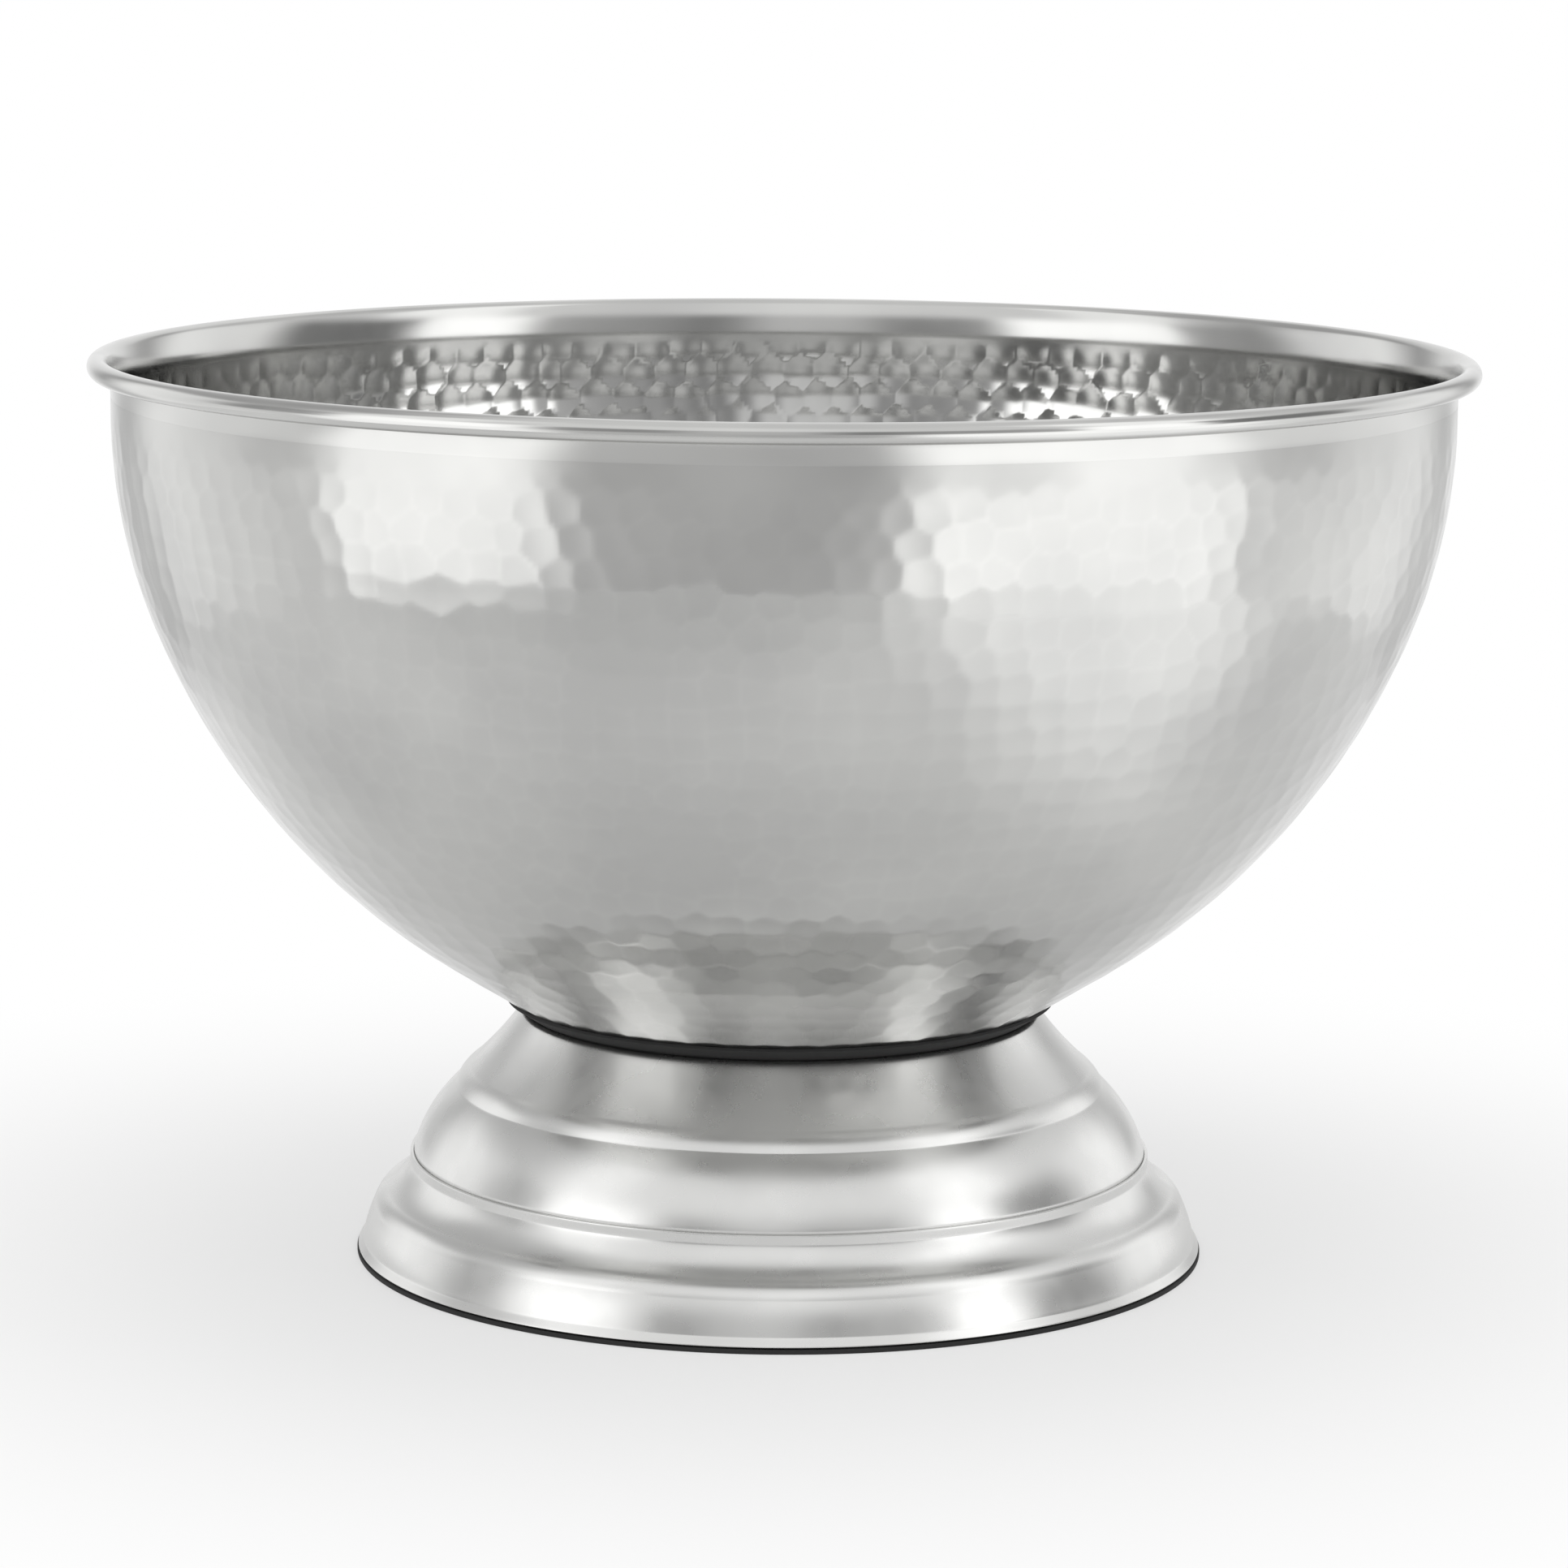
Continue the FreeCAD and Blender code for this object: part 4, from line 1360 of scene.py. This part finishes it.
@dataclass
class Studio:
    """Pale floor, soft room light and the camera.

    The panels' rings shade into each other over spans of the height of the direction looked in,
    and the floor's light changes over spans of place, in metres from the bowl's axis.
    """

    camera_place: tuple[float, float, float] = (0.0, -1.5306, 0.3881)
    camera_pitch: float = math.radians(9.53)
    camera_roll: float = math.radians(0.4)
    camera_lens: float = 128.3
    camera_sensor: float = 36.0
    camera_shift: float = 0.00155
    camera_reach: Span = (0.05, 30.0)
    floor_size: float = 6.0
    floor_tone: float = 0.87
    floor_cloud: float = 3.0
    floor_roughness: float = 0.9
    floor_fade: Span = (0.12, 0.42)
    floor_white: Span = (0.45, 1.0)
    floor_shown: Span = (0.54, 0.62)
    window_side: Span = (0.09, 0.26)
    window_front: Span = (-0.2, 0.0)
    window_level: float = 0.55
    dim_side: Span = (-0.55, -0.28)
    dim_slant: float = 0.4
    dim_share: float = 0.75
    low_panels: Panels = Panels((
        (-180, 1.00), (-165, 0.95), (-150, 0.70), (-130, 1.25), (-104, 1.10), (-88, 0.95), (-77, 1.70),
        (-45, 1.65), (-33, 0.74), (0, 0.68), (15, 0.74), (27, 1.75), (76, 1.75), (90, 1.15),
        (130, 1.30), (152, 0.75), (167, 0.95), (180, 1.00),
    ))
    high_panels: Panels = Panels((
        (-180, 1.00), (-160, 0.90), (-148, 0.50), (-132, 1.30), (-112, 1.20), (-96, 0.45), (-81, 0.55),
        (-74, 1.80), (-46, 1.90), (-36, 0.45), (-23, 0.40), (-11, 0.75), (1, 0.80), (13, 0.36),
        (26, 0.50), (44, 0.55), (52, 1.95), (68, 1.95), (75, 0.25), (98, 0.30), (112, 1.20),
        (134, 1.30), (150, 0.50), (162, 0.90), (180, 1.00),
    ))
    upper_panels: Panels = Panels((
        (-180, 1.10), (-150, 0.60), (-122, 0.55), (-98, 0.60), (-86, 0.85), (-78, 1.40), (-62, 1.40),
        (-52, 1.05), (-30, 1.05), (0, 1.15), (30, 1.00), (50, 1.00), (59, 1.65), (77, 1.65),
        (88, 1.00), (108, 0.85), (134, 0.80), (160, 1.10), (180, 1.10),
    ))
    ceiling_level: float = 0.95
    low_to_high: Span = (-0.16, 0.02)
    high_to_upper: Span = (0.34, 0.52)
    upper_to_ceiling: Span = (0.76, 0.94)
    white_behind: Span = (0.90, 0.98)

    def camera(self) -> None:
        """Set the camera up."""
        data = bpy.data.cameras.new("camera")
        data.lens, data.sensor_width, data.shift_x = self.camera_lens, self.camera_sensor, self.camera_shift
        data.clip_start, data.clip_end = self.camera_reach
        camera = bpy.data.objects.new("camera", data)
        camera.location = self.camera_place
        aim = Euler((math.pi / 2 - self.camera_pitch, 0.0, 0.0)).to_quaternion()
        camera.rotation_mode = "QUATERNION"
        camera.rotation_quaternion = aim @ Quaternion((0.0, 0.0, 1.0), self.camera_roll)
        bpy.context.scene.collection.objects.link(camera)
        bpy.context.scene.camera = camera

    def floor(self) -> None:
        """The pale floor sheet, clear from below so that the underside can be looked at.

        Going outwards it turns into the white of the room for what looks straight at it. A mirror
        sees the sheet near the object, whiter and brighter towards the window's side, and past it
        the room's lower panels.
        """
        size = self.floor_size
        corners = size * np.array(((-1, -1, 0), (1, -1, 0), (1, 1, 0), (-1, 1, 0)), float)
        plane = write_mesh("floor", corners, [np.array(((0, 1, 2, 3),))])
        made = bpy.data.materials.new("pale_floor")
        nodes = Nodes(made)
        place = nodes.add("ShaderNodeTexCoord").outputs["Object"]
        shade, tone = (3 * (0.99 * self.floor_tone,), 3 * (self.floor_tone,))
        pale = nodes.blend(nodes.noise(place, self.floor_cloud, 2.0), shade, tone)
        sheet = nodes.add("ShaderNodeBsdfPrincipled", in_Base_Color=pale, in_Roughness=self.floor_roughness)
        far = nodes.add("ShaderNodeVectorMath", operation="LENGTH", in_0=place).outputs["Value"]
        axes = nodes.add("ShaderNodeSeparateXYZ", in_Vector=place).outputs
        camera, mirrored = nodes.lookers()
        window = nodes.rise(axes["X"], self.window_side, (0.0, self.window_level))
        window = nodes.sum("MULTIPLY", window, nodes.rise(axes["Y"], self.window_front, (1.0, 0.0)))
        window = nodes.sum("MULTIPLY", window, mirrored)
        side = nodes.sum("ADD", axes["Y"], nodes.sum("MULTIPLY", axes["X"], self.dim_slant))
        dimmed = nodes.sum("MULTIPLY", mirrored, nodes.rise(side, self.dim_side, (self.dim_share, 0.0)))
        seen = nodes.sum("SUBTRACT", nodes.sum("MAXIMUM", camera, mirrored), dimmed)
        share = nodes.sum("MULTIPLY", seen, nodes.rise(far, self.floor_fade, self.floor_white))
        white = nodes.add("ShaderNodeEmission", in_Strength=nodes.sum("ADD", window, 1.0))
        top = nodes.add("ShaderNodeMixShader", in_0=share, in_1=sheet.outputs[0], in_2=white.outputs[0])
        clear = nodes.add("ShaderNodeBsdfTransparent")
        past = nodes.rise(far, self.floor_shown)
        under = nodes.add("ShaderNodeNewGeometry").outputs["Backfacing"]
        gone = nodes.sum("MAXIMUM", under, nodes.sum("MULTIPLY", mirrored, past))
        both = nodes.add("ShaderNodeMixShader", in_0=gone, in_1=top.outputs[0], in_2=clear.outputs[0])
        nodes.add("ShaderNodeOutputMaterial", in_Surface=both.outputs[0])
        plane.data.materials.append(made)

    def world(self) -> None:
        """The room: rings of panels under, at and over the rim's level, and a dimmer ceiling. What
        looks straight at the room sees white, and mirrors see that white behind the bowl."""
        world = bpy.data.worlds.new("studio")
        bpy.context.scene.world = world
        nodes = Nodes(world)
        way = nodes.add("ShaderNodeTexCoord").outputs["Generated"]
        axes = nodes.add("ShaderNodeSeparateXYZ", in_Vector=way).outputs
        azimuth = nodes.sum("ARCTAN2", axes["X"], nodes.sum("MULTIPLY", axes["Y"], -1.0))
        turn = nodes.sum("ADD", nodes.sum("DIVIDE", azimuth, math.tau), 0.5)
        rings = (self.low_panels, self.high_panels, self.upper_panels)
        low, high, upper = (panels.light(nodes, turn) for panels in rings)
        level = nodes.mixed(nodes.rise(axes["Z"], self.low_to_high), low, high)
        level = nodes.mixed(nodes.rise(axes["Z"], self.high_to_upper), level, upper)
        level = nodes.mixed(nodes.rise(axes["Z"], self.upper_to_ceiling), level, self.ceiling_level)
        camera, mirrored = nodes.lookers()
        behind = nodes.sum("MULTIPLY", mirrored, nodes.rise(axes["Y"], self.white_behind))
        glow = nodes.add(
            "ShaderNodeBackground", in_Color=nodes.mixed(nodes.sum("MAXIMUM", camera, behind), level, 1.0)
        )
        nodes.add("ShaderNodeOutputWorld", in_Surface=glow.outputs[0])

    def build(self) -> None:
        """Make the stage and fix how colours are shown."""
        self.camera()
        self.floor()
        self.world()
        bpy.context.scene.view_settings.view_transform = "Standard"


def main() -> None:
    """Build the object and its stage, and report each piece."""
    logging.basicConfig(level=logging.INFO, format="%(name)s: %(message)s")
    Studio().build()
    bowl = Bowl()
    bowl.build()
    foot = Foot()
    foot.build(bowl)
    Fixing().build(bowl, foot)


if __name__ == "__main__":
    main()
